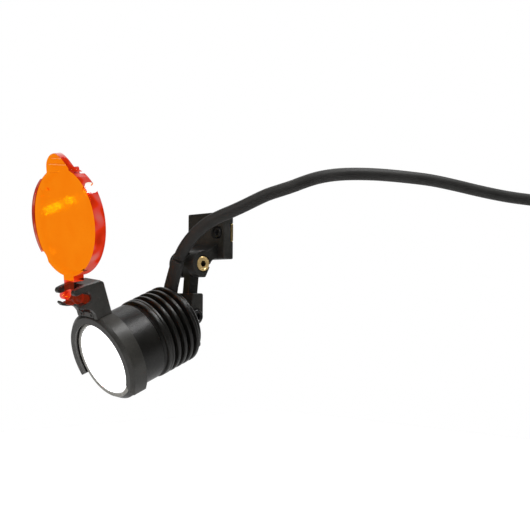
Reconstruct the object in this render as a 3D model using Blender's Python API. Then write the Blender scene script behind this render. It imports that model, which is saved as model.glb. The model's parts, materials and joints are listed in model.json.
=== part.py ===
"""Clip-on dental headlight with a flip-up orange curing filter.

A finned aluminium lamp head hangs from a mounting plate on a two-pivot link.  A push-on
holder round its bezel carries the orange filter, which flips down over the lens so that
light-cured filling material doesn't set too early.

Sizes are millimetres and degrees, and MM turns a size into Blender's metres.  The origin
is the centre of the mounting plate's back face, +X runs along the hinge screws, +Y points
out of the plate's back and +Z is up.
"""
import math

import bmesh
import bpy
from mathutils import Matrix, Vector

MM = 0.001
MERGE = 1e-6
GAP = 0.25                  # running and seating clearance between two pieces
FINE = 48                   # facets round the large turned pieces
COARSE = 24                 # facets round screws, washers and other small ones

# mounting plate and its clevis lug
PLATE_WIDTH = 15.0
PLATE_HEIGHT = 12.0
PLATE_THICK = 3.2
PLATE_EDGE = 0.35           # bevel round the plate
HINGE_AHEAD = 7.6           # hinge axis in front of the plate's back face
HINGE_DROP = 7.3            # hinge axis below the plate's centre
LUG_NOSE = 3.4              # radius of the lug round its hinge
LUG_CHEEK = 2.8             # wall of the lug on each side of the knuckle
LEDGE_DROP = 1.9            # top of the lug's root below the plate's centre
LEDGE_STEP = 0.45           # narrow ledge where the lug leaves the plate
ROOT_FILLET = 2.3           # hollow under the lug
ROOT_SINK = 0.8             # how far the lug runs into the plate
SLOT_ROOF = 0.35            # room between the knuckle and the slot's end

# the two screws that fix the plate, and the brass bushes behind it
FIXING_EDGE = 2.9           # each screw from the plate's side
FIXING_RISE = 0.8
POCKET_RADIUS = 1.6         # round end of each screw's long recess
POCKET_STRETCH = 0.6        # half the straight part of that recess
POCKET_DEPTH = 1.4
FIXING_HEAD = 1.3           # radius of the button head
FIXING_HEAD_HEIGHT = 1.0
FIXING_SHANK = 0.8
BUSH_BARREL = 1.6
BUSH_SUNK = 1.3             # barrel length inside the plate
BUSH_FLANGE = 3.5           # the flange shows at the plate's side
BUSH_FLANGE_THICK = 0.8
BUSH_FLANGE_SUNK = 0.05     # its back face lies this far below the plate's

# hinge and tilt screws
SHANK = 1.0                 # radius of both pivot screws
HEAD = 1.9                  # radius of their cap heads
HEAD_HEIGHT = 1.6
SOCKET = 1.5                # hexagon across its flats
SOCKET_DEPTH = 1.0
NUT_FLATS = 4.0
NUT_HEIGHT = 1.5
WASHER_THICK = 0.35
WASHER_RIM = 1.9            # outer radius
TILT_SEAT = 0.8             # recess of the tilt screw's head
TILT_HEAD = 1.7
TILT_HEAD_HEIGHT = 1.2

# link between the two pivots
LINK_LENGTH = 13.25
LINK_LEAN = 5.2             # the link leans forward from the vertical
KNUCKLE_RADIUS = 2.45
KNUCKLE_HALF = 1.42         # half the arm's width along the hinge axis
ARM_FRONT = 1.1
ARM_REAR = 1.6
FORK_RADIUS = 2.1
FORK_RISE = 5.8             # top of the fork above the tilt axis
FORK_WALL = 1.55

# lamp head, measured from the lens plane towards the back
HEAD_TILT = 22.6
PIVOT_BACK = 27.0           # tilt axis behind the lens plane
LENS_RADIUS = 8.55
LENS_INSET = 0.15           # rim of the dome behind the bezel
LENS_DOME = 0.3
LENS_FLANGE = 0.55
BEZEL_LIP = 0.75
BEZEL_FACE = 9.4            # outer radius of the bezel's flat face
BEZEL_SHOULDER = 1.06       # the bezel stands out this far from the barrel
BEZEL_CONE = 1.7
BEZEL_DEPTH = 2.7
BARREL_RADIUS = 9.74
BARREL_BORE = 9.15
BARREL_BACK = 11.0
BARREL_CHAMFER = 0.2
GASKET_THICK = 0.3
GASKET_WIDTH = 0.85
CUP_FRONT = 7.0             # threaded cup of the heat sink, inside the barrel
CUP_WALL = 1.0
STEP_RADIUS = 9.3           # dark step between barrel and land
STEP_LENGTH = 0.9
LAND_RADIUS = 10.0
LAND_LENGTH = 2.0
LAND_LINE = 1.1             # fine turned line on the land
FIN_COUNT = 3
FIN_PITCH = 2.0
FIN_THICK = 0.95
FIN_CHAMFER = 0.12
GROOVE_ROOT = 8.4
FLANGE_THICK = 0.95         # last and thickest fin
CORE_BORE = 1.5             # wire passage
REAR_POCKET = 5.6
REAR_POCKET_DEPTH = 5.2

# light engine
BOARD_RADIUS = 7.4
BOARD_THICK = 1.0
PAD_THICK = 0.35
PAD_BORE = 2.0
LED_SIDE = 3.4
LED_THICK = 0.55
LED_DOME = 1.3
REFLECTOR_WALL = 0.5
REFLECTOR_RIM = 0.6
REFLECTOR_THROAT = 2.9
LEAD_RADIUS = 0.35

# rear cap
CAP_RADIUS = 8.6
CAP_THICK = 1.7
CAP_SPIGOT = 1.8
CAP_HOLLOW = 4.4            # radius of the hollow in the spigot
TONGUE_RADIUS = 2.2
TONGUE_ROOT = 3.4           # half height where the tongue leaves the cap
CAP_SCREW_CIRCLE = 7.0
CAP_SCREW_ANGLES = (140.0, 220.0, 300.0)
CAP_SCREW_HEAD = 1.35
CAP_SCREW_HEIGHT = 0.8
CAP_SCREW_SHANK = 0.75
CAP_SCREW_LENGTH = 4.2
OUTLET_RADIUS = 2.5         # boss that the strain relief comes out of
OUTLET_TOP = -14.3          # its rim, as a height from the origin

# filter holder, in its own turned frame
HOLDER_TURN = 6.86
RING_WALL = 1.0
RING_FRONT = -0.95
RING_BACK = 3.5
RING_LIP = 9.6              # bore of the thin front lip
RING_LIP_THICK = 0.7
HOOK_ROOM = 0.26            # between the barrel and the hook behind the bezel
RING_HOOK_THICK = 0.55
RING_CHAMFER = 0.85
RING_START = -50.0
RING_TRIM = -38.5           # its end is then trimmed to an upright face
RING_TRIM_TURN = 109.0
RING_END = 208.0
CHEEK_HALF = 2.65           # half the space between the two cheeks
CHEEK_WALL = 1.4
CHEEK_BACK = 3.35
CHEEK_TOP = 19.75
CHEEK_CORNER = 0.9
CHEEK_EDGE = 0.15
TRUNNION_AHEAD = 2.82       # flip axis ahead of the lens plane
TRUNNION_UP = 17.5          # and above the barrel's axis
TRUNNION_RADIUS = 1.0
SLOT_SEAT = 0.67            # the slot's round end behind the trunnion
JAW_REACH = 5.05
WEB_THICK = 1.3
WEB_FRONT = 0.3
BASE_TOP = 14.9
WINDOW_WIDTH = 2.6
WINDOW_HEIGHT = 1.6
WINDOW_DEPTH = 1.3
WINDOW_UP = 13.9

# filter, in a frame on its trunnion with the disc straight up
FILTER_OPEN = 12.67         # the open filter leans back by this much
FILTER_RADIUS = 12.5
FILTER_FACE = -1.41
FILTER_THICK = 1.2
CUP_DEPTH = 2.95
SKIRT_WALL = 0.9
TAB_HALF = 4.85
TAB_SHIFT = -0.68
TAB_SHOULDER = 12.4         # where the tab's rounding starts, above the disc's centre
TAB_RISE = 3.3              # height of that rounding
TAB_PEAK = 1.0              # its top lies this far to the left of the tab's middle
TAB_TRIM = 0.5              # the right side is narrower by this much
TAB_SLANT = 1.5             # power of the slanted right side's curve
TAB_DEPTH = 1.7             # the tab's skirt is shallower than the disc's
SLIT_HEIGHT = 0.4
SLIT_DROP = 1.1             # its top below the tab's lower edge
LIP_RADIUS = 12.95          # raised lip along the filter's left side
LIP_WIDTH = 0.75
LIP_FRONT = 0.4             # how far it stands ahead of the face
LIP_BACK = 1.2
LIP_START = 131.0
LIP_SWEEP = 84.0
NOTCH_RADIUS = 1.5
NOTCH_DEPTH = 1.85          # from the face to the notch's centre
NOTCH_ANGLE = 41.0
SCALLOP_RADIUS = 3.6
SCALLOP_DEPTH = 0.7
SCALLOP_ANGLE = -137.0
LEG_HALF = 1.15
LEG_SHIFT = -0.7
LEG_THICK = 1.3
LEG_TAIL = 1.8
NECK_HALF = 1.8
NECK_SHIFT = 0.6
NECK_DEPTH = 2.8
NECK_FOOT = 3.9
TRUNNION_HALF = 4.7
HUB_RADIUS = 1.5

# cable
CABLE = 1.58                # radius
RELIEF_BASE = 1.9           # radius of the strain relief in the outlet
RELIEF_LENGTH = 8.3         # what stands out of the outlet
RELIEF_SUNK = 2.2
ROUTE = (
    (-1.3, -14.1, -17.2), (-1.0, -13.5, -14.7), (-0.7, -13.4, -13.0), (-0.3, -13.3, -11.7),
    (0.3, -13.2, -9.9), (1.6, -13.1, -6.8), (2.9, -12.8, -4.5), (4.3, -12.3, -2.4),
    (7.3, -10.9, 0.9), (10.3, -8.9, 3.4), (13.3, -6.6, 5.0), (16.4, -3.7, 6.9),
    (20.1, 0.2, 9.5), (23.2, 4.5, 11.3), (25.5, 7.9, 12.9), (27.5, 11.5, 14.2),
    (29.7, 15.9, 15.0), (31.6, 20.0, 15.3), (33.5, 24.6, 15.4), (35.2, 29.0, 15.3),
    (36.8, 33.7, 15.1), (38.8, 40.2, 14.7), (40.8, 47.1, 13.8), (42.4, 53.3, 12.9),
    (43.8, 58.7, 12.2), (45.3, 64.6, 11.6), (47.0, 71.2, 11.2), (49.2, 78.0, 10.8),
    (51.2, 84.0, 10.5), (52.5, 90.0, 10.4),
)
COIL_CENTRE = (51.0, 102.4, -10.6)
COIL_OUTER = 22.7
COIL_INNER = 12.9
COIL_HALF = 6.5
TIE_WIDTH = 6.0
TIE_THICK = 1.0
TIE_ANGLE = 45.0
TAIL_RADIUS = 21.0          # the tail leaves the coil's outer turn
TAIL_SHIFT = 1.6            # left of the coil's middle
TAIL_START = 12.6           # below the coil's centre
TAIL_LENGTH = 8.0

# plug on the cable's end
PLUG_GRIP = 4.1
PLUG_NECK = 2.3
PLUG_NECK_LENGTH = 5.0
PLUG_GRIP_LENGTH = 12.5
PLUG_SLEEVE = 2.75
PLUG_SLEEVE_BORE = 2.2
PLUG_SLEEVE_LENGTH = 9.5
PLUG_LINER_BORE = 1.55
PLUG_CONTACT_BORE = 1.05
PLUG_SUNK = 2.0


# ---------------------------------------------------------------- frames

def moved(x, y, z):
    """Matrix that shifts by a distance in millimetres."""
    return Matrix.Translation(Vector((x, y, z)) * MM)


def turned_about(axis, degrees):
    """Matrix that turns about one of the frame's own axes."""
    return Matrix.Rotation(math.radians(degrees), 4, axis)


WORLD = Matrix.Identity(4)
ALONG_X = turned_about("Z", -90.0)       # lays a turned piece's axis along +X
HINGE = moved(0.0, -HINGE_AHEAD, -HINGE_DROP)
LINK = HINGE @ turned_about("X", -LINK_LEAN)
TILT = LINK @ moved(0.0, 0.0, -LINK_LENGTH)
LAMP = Matrix.Translation(TILT.translation) @ turned_about("X", HEAD_TILT) @ moved(0.0, -PIVOT_BACK, 0.0)
HOLDER = LAMP @ turned_about("Y", HOLDER_TURN)
TRUNNION = HOLDER @ moved(0.0, -TRUNNION_AHEAD, TRUNNION_UP)
FILTER = TRUNNION @ turned_about("X", -FILTER_OPEN)

FIXING_SPREAD = PLATE_WIDTH / 2 - FIXING_EDGE
SLOT_HALF = KNUCKLE_HALF + GAP + WASHER_THICK + GAP
LUG_HALF = SLOT_HALF + LUG_CHEEK
FORK_HALF = SLOT_HALF + FORK_WALL
FLANGE_FRONT = BARREL_BACK + GAP + STEP_LENGTH + LAND_LENGTH + FIN_COUNT * FIN_PITCH + (FIN_PITCH - FIN_THICK)
LAMP_BACK = FLANGE_FRONT + FLANGE_THICK
CAP_FRONT = LAMP_BACK + GAP
CAP_BACK = CAP_FRONT + CAP_THICK
BEZEL_RADIUS = BARREL_RADIUS + BEZEL_SHOULDER
RING_BORE = BEZEL_RADIUS + GAP
RING_RADIUS = RING_BORE + RING_WALL
RING_HOOK = BARREL_RADIUS + HOOK_ROOM


# ---------------------------------------------------------------- making solids

def finish(name, colour, roughness, metallic=0.0, alpha=1.0):
    """The named material, made on first use."""
    material = bpy.data.materials.get(name)
    if material is None:
        material = bpy.data.materials.new(name)
        material.use_nodes = True
        shader = material.node_tree.nodes["Principled BSDF"]
        shader.inputs["Base Color"].default_value = (*colour, 1.0)
        shader.inputs["Roughness"].default_value = roughness
        shader.inputs["Metallic"].default_value = metallic
        shader.inputs["Alpha"].default_value = alpha
    return material


def black_anodised():
    return finish("black_anodised", (0.035, 0.033, 0.031), 0.38, 0.6)


def black_plastic():
    return finish("black_plastic", (0.05, 0.048, 0.043), 0.55)


def black_rubber():
    return finish("black_rubber", (0.035, 0.033, 0.03), 0.6)


def brass():
    return finish("brass", (0.72, 0.5, 0.22), 0.3, 1.0)


def black_steel():
    return finish("black_steel", (0.03, 0.03, 0.03), 0.35, 0.8)


def bright_steel():
    return finish("bright_steel", (0.7, 0.7, 0.7), 0.25, 1.0)


def orange_filter():
    return finish("orange_filter", (0.95, 0.3, 0.02), 0.12, 0.0, 0.9)


def place(name, mesh_data, material, frame):
    """Turn finished bmesh data into a named object standing in a frame."""
    bmesh.ops.recalc_face_normals(mesh_data, faces=mesh_data.faces)
    mesh = bpy.data.meshes.new(name)
    mesh_data.to_mesh(mesh)
    mesh_data.free()
    mesh.shade_smooth()
    mesh.set_sharp_from_angle(angle=math.radians(30.0))
    mesh.materials.append(material)
    piece = bpy.data.objects.new(name, mesh)
    bpy.context.scene.collection.objects.link(piece)
    piece.matrix_world = frame
    return piece


def turned(name, outline, material, frame, steps=FINE, sweep=360.0):
    """Spin an outline of (radius, distance along) points about the frame's Y axis."""
    work = bmesh.new()
    corners = [work.verts.new((radius * MM, along * MM, 0.0)) for radius, along in outline]
    if sweep < 360.0:
        face = work.faces.new(corners)
        swept = [face, *face.edges, *corners]
    else:
        closed = outline[0][0] > 0.0 or outline[-1][0] > 0.0
        ends = corners[1:] + corners[:1] if closed else corners[1:]
        swept = corners + [work.edges.new(pair) for pair in zip(corners, ends)]
    bmesh.ops.spin(work, geom=swept, cent=(0, 0, 0), axis=(0, -1, 0), dvec=(0, 0, 0),
                   angle=math.radians(sweep), steps=steps, use_duplicate=False)
    bmesh.ops.remove_doubles(work, verts=work.verts, dist=MERGE)
    return place(name, work, material, frame)


def prism(name, outline, low, high, material, frame):
    """Run a side outline of (y, z) points along the frame's X axis from low to high."""
    work = bmesh.new()
    corners = [work.verts.new((low * MM, y * MM, z * MM)) for y, z in outline]
    face = work.faces.new(corners)
    grown = bmesh.ops.extrude_face_region(work, geom=[face])
    raised = [item for item in grown["geom"] if isinstance(item, bmesh.types.BMVert)]
    bmesh.ops.translate(work, verts=raised, vec=((high - low) * MM, 0.0, 0.0))
    return place(name, work, material, frame)


def block(name, low, high, material, frame):
    """A box between two corners."""
    sides = [(low[1], low[2]), (high[1], low[2]), (high[1], high[2]), (low[1], high[2])]
    return prism(name, sides, low[0], high[0], material, frame)


def rod(name, radius, low, high, material, frame, steps=COARSE):
    """A plain cylinder along the frame's Y axis."""
    return turned(name, [(0.0, low), (radius, low), (radius, high), (0.0, high)], material, frame, steps)


def arc(centre, radius, start, stop, count=8):
    """Points on an arc, its angles taken from the first axis towards the second."""
    angles = [math.radians(start + (stop - start) * i / count) for i in range(count + 1)]
    return [(centre[0] + radius * math.cos(a), centre[1] + radius * math.sin(a)) for a in angles]


def soften(piece, width, segments=2):
    """Round a piece's sharp edges."""
    bevel = piece.modifiers.new("edges", "BEVEL")
    bevel.width = width * MM
    bevel.segments = segments
    bevel.limit_method = "ANGLE"
    bevel.angle_limit = math.radians(40.0)


def combine(piece, other, operation):
    """Cut or join one solid with a helper solid that isn't a piece itself."""
    change = piece.modifiers.new(other.name, "BOOLEAN")
    change.operation = operation
    change.solver = "EXACT"
    change.object = other
    other.hide_render = True
    other.display_type = "WIRE"


def cut(piece, *tools):
    for tool in tools:
        combine(piece, tool, "DIFFERENCE")


def join(piece, *others):
    for other in others:
        combine(piece, other, "UNION")


def smooth_route(points, spacing):
    """Evenly read a smooth curve through the route's own points."""
    ends = [2 * Vector(points[0]) - Vector(points[1]), 2 * Vector(points[-1]) - Vector(points[-2])]
    knots = [ends[0], *map(Vector, points), ends[1]]
    dense = []
    for a, b, c, d in zip(knots, knots[1:], knots[2:], knots[3:]):
        for i in range(24):
            t = i / 24
            dense.append(0.5 * (2 * b + (c - a) * t + (2 * a - 5 * b + 4 * c - d) * t ** 2
                                + (3 * b - a - 3 * c + d) * t ** 3))
    dense.append(knots[-2])
    reach = [0.0]
    for one, two in zip(dense, dense[1:]):
        reach.append(reach[-1] + (two - one).length)
    count = max(2, round(reach[-1] / spacing))
    evenly = []
    for i in range(count + 1):
        goal = reach[-1] * i / count
        after = next(j for j, at in enumerate(reach) if at >= goal - MERGE)
        if after == 0:
            evenly.append(dense[0])
            continue
        share = (goal - reach[after - 1]) / (reach[after] - reach[after - 1])
        evenly.append(dense[after - 1].lerp(dense[after], share))
    return evenly


def tube(name, points, radii, material):
    """A round tube along points, with a radius at each."""
    curve = bpy.data.curves.new(name, "CURVE")
    curve.dimensions = "3D"
    curve.bevel_depth = radii[0] * MM
    curve.bevel_resolution = 2
    curve.use_fill_caps = True
    line = curve.splines.new("POLY")
    line.points.add(len(points) - 1)
    for knot, point, radius in zip(line.points, points, radii):
        knot.co = (*(point * MM), 1.0)
        knot.radius = radius / radii[0]
    curve.materials.append(material)
    piece = bpy.data.objects.new(name, curve)
    bpy.context.scene.collection.objects.link(piece)
    return piece


def socket_screw(name, head, height, shank, length, material, frame):
    """Cap screw with its head's underside at the frame's origin and its head towards +Y."""
    edge = 0.2
    outline = [(0.0, -length), (shank - edge, -length), (shank, edge - length), (shank, 0.0),
               (head, 0.0), (head, height - edge), (head - edge, height), (0.0, height)]
    screw = turned(name, outline, material, frame, COARSE)
    across = min(SOCKET, head) / 2 / math.cos(math.radians(30.0))
    depth = min(SOCKET_DEPTH, 0.7 * height)
    hexagon = rod(name + "_socket", across, height - depth, height + 1.0, material, frame, 6)
    cut(screw, hexagon)
    return screw


def hex_nut(name, flats, height, bore, material, frame):
    """Nut that reaches from the frame's origin towards +Y."""
    corner = flats / 2 / math.cos(math.radians(30.0))
    nut = rod(name, corner, 0.0, height, material, frame, 6)
    cut(nut, rod(name + "_thread", bore, -1.0, height + 1.0, material, frame))
    return nut


def ring(name, inner, outer, low, high, material, frame, steps=COARSE):
    """A plain ring round the frame's Y axis."""
    outline = [(inner, low), (outer, low), (outer, high), (inner, high)]
    return turned(name, outline, material, frame, steps)


# ---------------------------------------------------------------- mount

def lug_outline():
    """Side outline of the clevis lug, as (y, z) from the origin."""
    front = -PLATE_THICK
    hinge = (-HINGE_AHEAD, -HINGE_DROP)
    below = -PLATE_HEIGHT / 2 + 0.15
    fillet = (front - 0.1, below - ROOT_FILLET)
    return [(front + ROOT_SINK, -LEDGE_DROP), (front, -LEDGE_DROP),
            (front - LEDGE_STEP, -LEDGE_DROP - LEDGE_STEP),
            *arc(hinge, LUG_NOSE, 70.0, 282.0, 20),
            *arc(fillet, ROOT_FILLET, 180.0, 90.0, 6),
            (front + ROOT_SINK, below)]


def make_mount_block():
    """Mounting plate with the two-cheeked lug that carries the hinge."""
    black = black_plastic()
    half_height = PLATE_HEIGHT / 2
    plate = block("mount_block", (-PLATE_WIDTH / 2, -PLATE_THICK, -half_height),
                  (PLATE_WIDTH / 2, 0.0, half_height), black, WORLD)
    soften(plate, PLATE_EDGE)
    lug = prism("lug_body", lug_outline(), -LUG_HALF, LUG_HALF, black, WORLD)
    soften(lug, 0.2)
    join(plate, lug)
    reach = KNUCKLE_RADIUS + SLOT_ROOF
    slot = block("lug_slot", (-SLOT_HALF, -3 * LUG_NOSE, -3 * LUG_NOSE), (SLOT_HALF, reach, reach), black, HINGE)
    cut(plate, slot)
    axis = HINGE @ ALONG_X
    seat = LUG_HALF - HEAD_HEIGHT - GAP
    nut_floor = LUG_HALF - NUT_HEIGHT - GAP
    corner = NUT_FLATS / 2 / math.cos(math.radians(30.0)) + GAP
    cut(plate,
        rod("hinge_bore", SHANK + GAP, -2 * LUG_HALF, 2 * LUG_HALF, black, axis),
        rod("hinge_head_recess", HEAD + GAP, seat, LUG_HALF + 1.0, black, axis),
        rod("hinge_nut_recess", corner, -LUG_HALF - 1.0, -nut_floor, black, axis, 6))
    for side in (-1, 1):
        cut_fixing(plate, side)
    return plate


def cut_fixing(plate, side):
    """Long recess, screw hole and bush bore of one fixing screw."""
    black = black_plastic()
    label = "right" if side > 0 else "left"
    place_at = moved(side * FIXING_SPREAD, 0.0, FIXING_RISE)
    outline = [*arc((POCKET_STRETCH, 0.0), POCKET_RADIUS, -90.0, 90.0, 12),
               *arc((-POCKET_STRETCH, 0.0), POCKET_RADIUS, 90.0, 270.0, 12)]
    pocket = prism("pocket_%s" % label, outline, -PLATE_THICK - 1.0, POCKET_DEPTH - PLATE_THICK,
                   black, place_at @ turned_about("Z", 90.0))
    hole = rod("fixing_hole_%s" % label, FIXING_SHANK + GAP, -2 * PLATE_THICK, PLATE_THICK, black, place_at)
    bore = rod("bush_bore_%s" % label, BUSH_BARREL + GAP, -BUSH_SUNK - GAP, 1.0, black, place_at)
    seat = rod("bush_seat_%s" % label, BUSH_FLANGE + GAP, -BUSH_FLANGE_THICK - GAP, 1.0, black, place_at, FINE)
    cut(plate, pocket, hole, bore, seat)


def make_fixings():
    """Button-head screws in the plate and the flanged brass bushes behind it."""
    for side, label in ((-1, "left"), (1, "right")):
        axis = moved(side * FIXING_SPREAD, 0.0, FIXING_RISE)
        underside = POCKET_DEPTH - PLATE_THICK - GAP
        length = abs(underside) - 0.3
        facing_front = axis @ moved(0.0, underside, 0.0) @ turned_about("Z", 180.0)
        socket_screw("mount_screw_" + label, FIXING_HEAD, FIXING_HEAD_HEIGHT, FIXING_SHANK,
                     length, black_steel(), facing_front)
        inner = FIXING_SHANK + GAP
        rear = -BUSH_FLANGE_SUNK
        front = rear - BUSH_FLANGE_THICK + BUSH_FLANGE_SUNK
        outline = [(inner, -BUSH_SUNK), (BUSH_BARREL, -BUSH_SUNK), (BUSH_BARREL, front), (BUSH_FLANGE, front),
                   (BUSH_FLANGE, rear), (inner, rear)]
        bush = turned("brass_insert_" + label, outline, brass(), axis, FINE)
        edge = sorted((side * (PLATE_WIDTH / 2 - 0.05), side * PLATE_WIDTH))
        cut(bush, block("bush_trim_" + label, (edge[0], -PLATE_THICK, -PLATE_HEIGHT),
                        (edge[1], PLATE_THICK, PLATE_HEIGHT), brass(), WORLD))


def make_pivot_hardware(label, frame, seat, nut_seat, head, height, material):
    """Screw, nut and two washers of one pivot, the head towards +X."""
    axis = frame @ ALONG_X
    shank = seat + nut_seat + NUT_HEIGHT - 0.3
    socket_screw(label + "_screw", head, height, SHANK, shank, material, axis @ moved(0.0, seat, 0.0))
    back = axis @ moved(0.0, -nut_seat, 0.0) @ turned_about("X", 180.0)
    hex_nut(label + "_nut", NUT_FLATS, NUT_HEIGHT, SHANK + GAP, black_steel(), back)
    for side, name in ((1, "near"), (-1, "far")):
        inner = side * (KNUCKLE_HALF + GAP)
        outer = side * (KNUCKLE_HALF + GAP + WASHER_THICK)
        ring("%s_washer_%s" % (label, name), SHANK + GAP, WASHER_RIM, min(inner, outer), max(inner, outer),
             bright_steel(), axis)


# ---------------------------------------------------------------- link

def make_link():
    """Flat arm from the hinge's knuckle down to the fork that carries the lamp."""
    black = black_plastic()
    knee = FORK_RISE - LINK_LENGTH
    arm = prism("link_arm", [*arc((0.0, 0.0), KNUCKLE_RADIUS, -35.0, 215.0, 16), (-ARM_FRONT, -3.6),
                             (-ARM_FRONT, knee - 1.0), (ARM_REAR, knee - 1.0), (ARM_REAR, -3.0)],
                -KNUCKLE_HALF, KNUCKLE_HALF, black, LINK)
    soften(arm, 0.15)
    fork = prism("link_fork", [*arc((0.0, 0.0), FORK_RADIUS, 180.0, 360.0, 14),
                               (FORK_RADIUS, FORK_RISE - 0.3), (FORK_RADIUS - 0.3, FORK_RISE),
                               (-ARM_FRONT, FORK_RISE)],
                 -FORK_HALF, FORK_HALF, black, TILT)
    soften(fork, 0.2)
    join(arm, fork)
    roof = TONGUE_RADIUS + SLOT_ROOF
    slot = block("fork_slot", (-SLOT_HALF, -2 * FORK_RADIUS, -2 * FORK_RADIUS),
                 (SLOT_HALF, 2 * FORK_RADIUS, roof), black, TILT)
    cut(arm, slot)
    axis = TILT @ ALONG_X
    floor = FORK_HALF - TILT_SEAT
    cut(arm,
        rod("knuckle_bore", SHANK + GAP, -2 * KNUCKLE_HALF, 2 * KNUCKLE_HALF, black, HINGE @ ALONG_X),
        rod("tilt_bore", SHANK + GAP, -2 * FORK_HALF, 2 * FORK_HALF, black, axis),
        rod("tilt_head_recess", TILT_HEAD + GAP, floor, FORK_HALF + 1.0, black, axis))
    return arm


# ---------------------------------------------------------------- lamp

def make_barrel():
    """Smooth front barrel with the bezel shoulder that the filter holder grips."""
    opening = LENS_RADIUS + GAP
    outline = [(opening, BEZEL_LIP), (opening, 0.2), (opening + 0.2, 0.0), (BEZEL_FACE, 0.0),
               (BEZEL_RADIUS, BEZEL_CONE), (BEZEL_RADIUS, BEZEL_DEPTH), (BARREL_RADIUS, BEZEL_DEPTH),
               (BARREL_RADIUS, BARREL_BACK - BARREL_CHAMFER), (BARREL_RADIUS - BARREL_CHAMFER, BARREL_BACK),
               (BARREL_BORE, BARREL_BACK), (BARREL_BORE, BEZEL_LIP)]
    turned("front_barrel", outline, black_anodised(), LAMP)


def make_lens():
    """Window with a stepped edge, held behind the bezel's lip on a flat gasket."""
    seat = BEZEL_LIP + GAP
    back = seat + LENS_FLANGE
    edge = BARREL_BORE - GAP
    dome = [(LENS_RADIUS * i / 6, LENS_INSET - LENS_DOME * math.cos(math.radians(90.0 * i / 6))) for i in range(7)]
    glass = finish("lens_glass", (0.95, 0.95, 0.95), 0.08)
    turned("front_lens", [*dome, (LENS_RADIUS, seat), (edge, seat), (edge, back), (0.0, back)], glass, LAMP)
    front = back + GAP
    ring("lens_gasket", edge - GASKET_WIDTH, edge, front, front + GASKET_THICK, black_rubber(), LAMP, FINE)
    return front + GASKET_THICK + GAP


def make_light_engine(front):
    """Reflector, LED, its board and the pad that passes its heat to the fins."""
    floor = BARREL_BACK - 0.3
    pad_front = floor - GAP - PAD_THICK
    board_front = pad_front - GAP - BOARD_THICK
    led_front = board_front - GAP - LED_THICK
    silver = finish("reflector_silver", (0.85, 0.85, 0.86), 0.12, 1.0)
    rim = BARREL_BORE - GAP
    depth = led_front - GAP - front - REFLECTOR_RIM
    curve = [(REFLECTOR_THROAT + (rim - 0.9 - REFLECTOR_THROAT) * math.sqrt(1.0 - i / 7),
              front + REFLECTOR_RIM + depth * i / 7) for i in range(8)]
    outside = [(radius + REFLECTOR_WALL, along) for radius, along in curve]
    outline = [(curve[0][0], front), (rim, front), (rim, front + REFLECTOR_RIM), *outside, *reversed(curve)]
    turned("reflector", outline, silver, LAMP)
    half = LED_SIDE / 2
    yellow = finish("led_phosphor", (0.9, 0.75, 0.2), 0.4)
    led = block("led_package", (-half, led_front, -half), (half, led_front + LED_THICK, half), yellow, LAMP)
    dome = [(0.0, led_front + 0.2), (LED_DOME, led_front + 0.2),
            *[(r, led_front + 0.2 - y) for r, y in arc((0.0, 0.0), LED_DOME, 0.0, 90.0, 6)][1:-1],
            (0.0, led_front + 0.2 - LED_DOME)]
    join(led, turned("led_dome", dome, yellow, LAMP, COARSE))
    board = finish("board_white", (0.8, 0.8, 0.78), 0.5)
    rod("led_board", BOARD_RADIUS, board_front, board_front + BOARD_THICK, board, LAMP, FINE)
    grey = finish("pad_grey", (0.45, 0.47, 0.5), 0.8)
    ring("thermal_pad", PAD_BORE, BOARD_RADIUS, pad_front, pad_front + PAD_THICK, grey, LAMP)
    return board_front + BOARD_THICK + GAP


def fin_outline(front, back):
    """One fin's outside, front to back, with its thin bright edges."""
    top = LAND_RADIUS
    return [(GROOVE_ROOT, front), (top - FIN_CHAMFER, front), (top, front + FIN_CHAMFER),
            (top, back - FIN_CHAMFER), (top - FIN_CHAMFER, back), (GROOVE_ROOT, back)]


def make_heat_sink():
    """Finned aluminium body: threaded cup in front, wire bore through, pocket behind."""
    cup = BARREL_BORE - GAP
    step = BARREL_BACK + GAP
    land = step + STEP_LENGTH
    land_back = land + LAND_LENGTH
    outline = [(cup - CUP_WALL, CUP_FRONT), (cup, CUP_FRONT), (cup, step), (STEP_RADIUS, step),
               (STEP_RADIUS, land), (LAND_RADIUS - 0.2, land), (LAND_RADIUS, land + 0.2),
               (LAND_RADIUS, land + LAND_LINE), (LAND_RADIUS - 0.1, land + LAND_LINE + 0.1),
               (LAND_RADIUS, land + LAND_LINE + 0.2), (LAND_RADIUS, land_back - FIN_CHAMFER),
               (LAND_RADIUS - FIN_CHAMFER, land_back), (GROOVE_ROOT, land_back)]
    groove = FIN_PITCH - FIN_THICK
    for index in range(FIN_COUNT):
        front = land_back + groove + index * FIN_PITCH
        outline += fin_outline(front, front + FIN_THICK)
    flange = fin_outline(FLANGE_FRONT, LAMP_BACK)
    outline += flange[:-1]
    floor = BARREL_BACK - 0.3
    pocket = LAMP_BACK - REAR_POCKET_DEPTH
    outline += [(REAR_POCKET, LAMP_BACK), (REAR_POCKET, pocket), (CORE_BORE, pocket),
                (CORE_BORE, floor), (cup - CUP_WALL, floor)]
    sink = turned("heat_sink", outline, black_anodised(), LAMP)
    for index, angle in enumerate(CAP_SCREW_ANGLES):
        at = cap_screw_frame(angle)
        hole = rod("sink_hole_%d" % index, CAP_SCREW_SHANK + GAP, CAP_BACK - CAP_SCREW_LENGTH - GAP - 0.5,
                   LAMP_BACK + 1.0, black_anodised(), at, 12)
        cut(sink, hole)


def cap_screw_frame(angle):
    """Lamp frame shifted to one cap screw's axis."""
    turn = math.radians(angle)
    return LAMP @ moved(CAP_SCREW_CIRCLE * math.cos(turn), 0.0, CAP_SCREW_CIRCLE * math.sin(turn))


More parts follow.
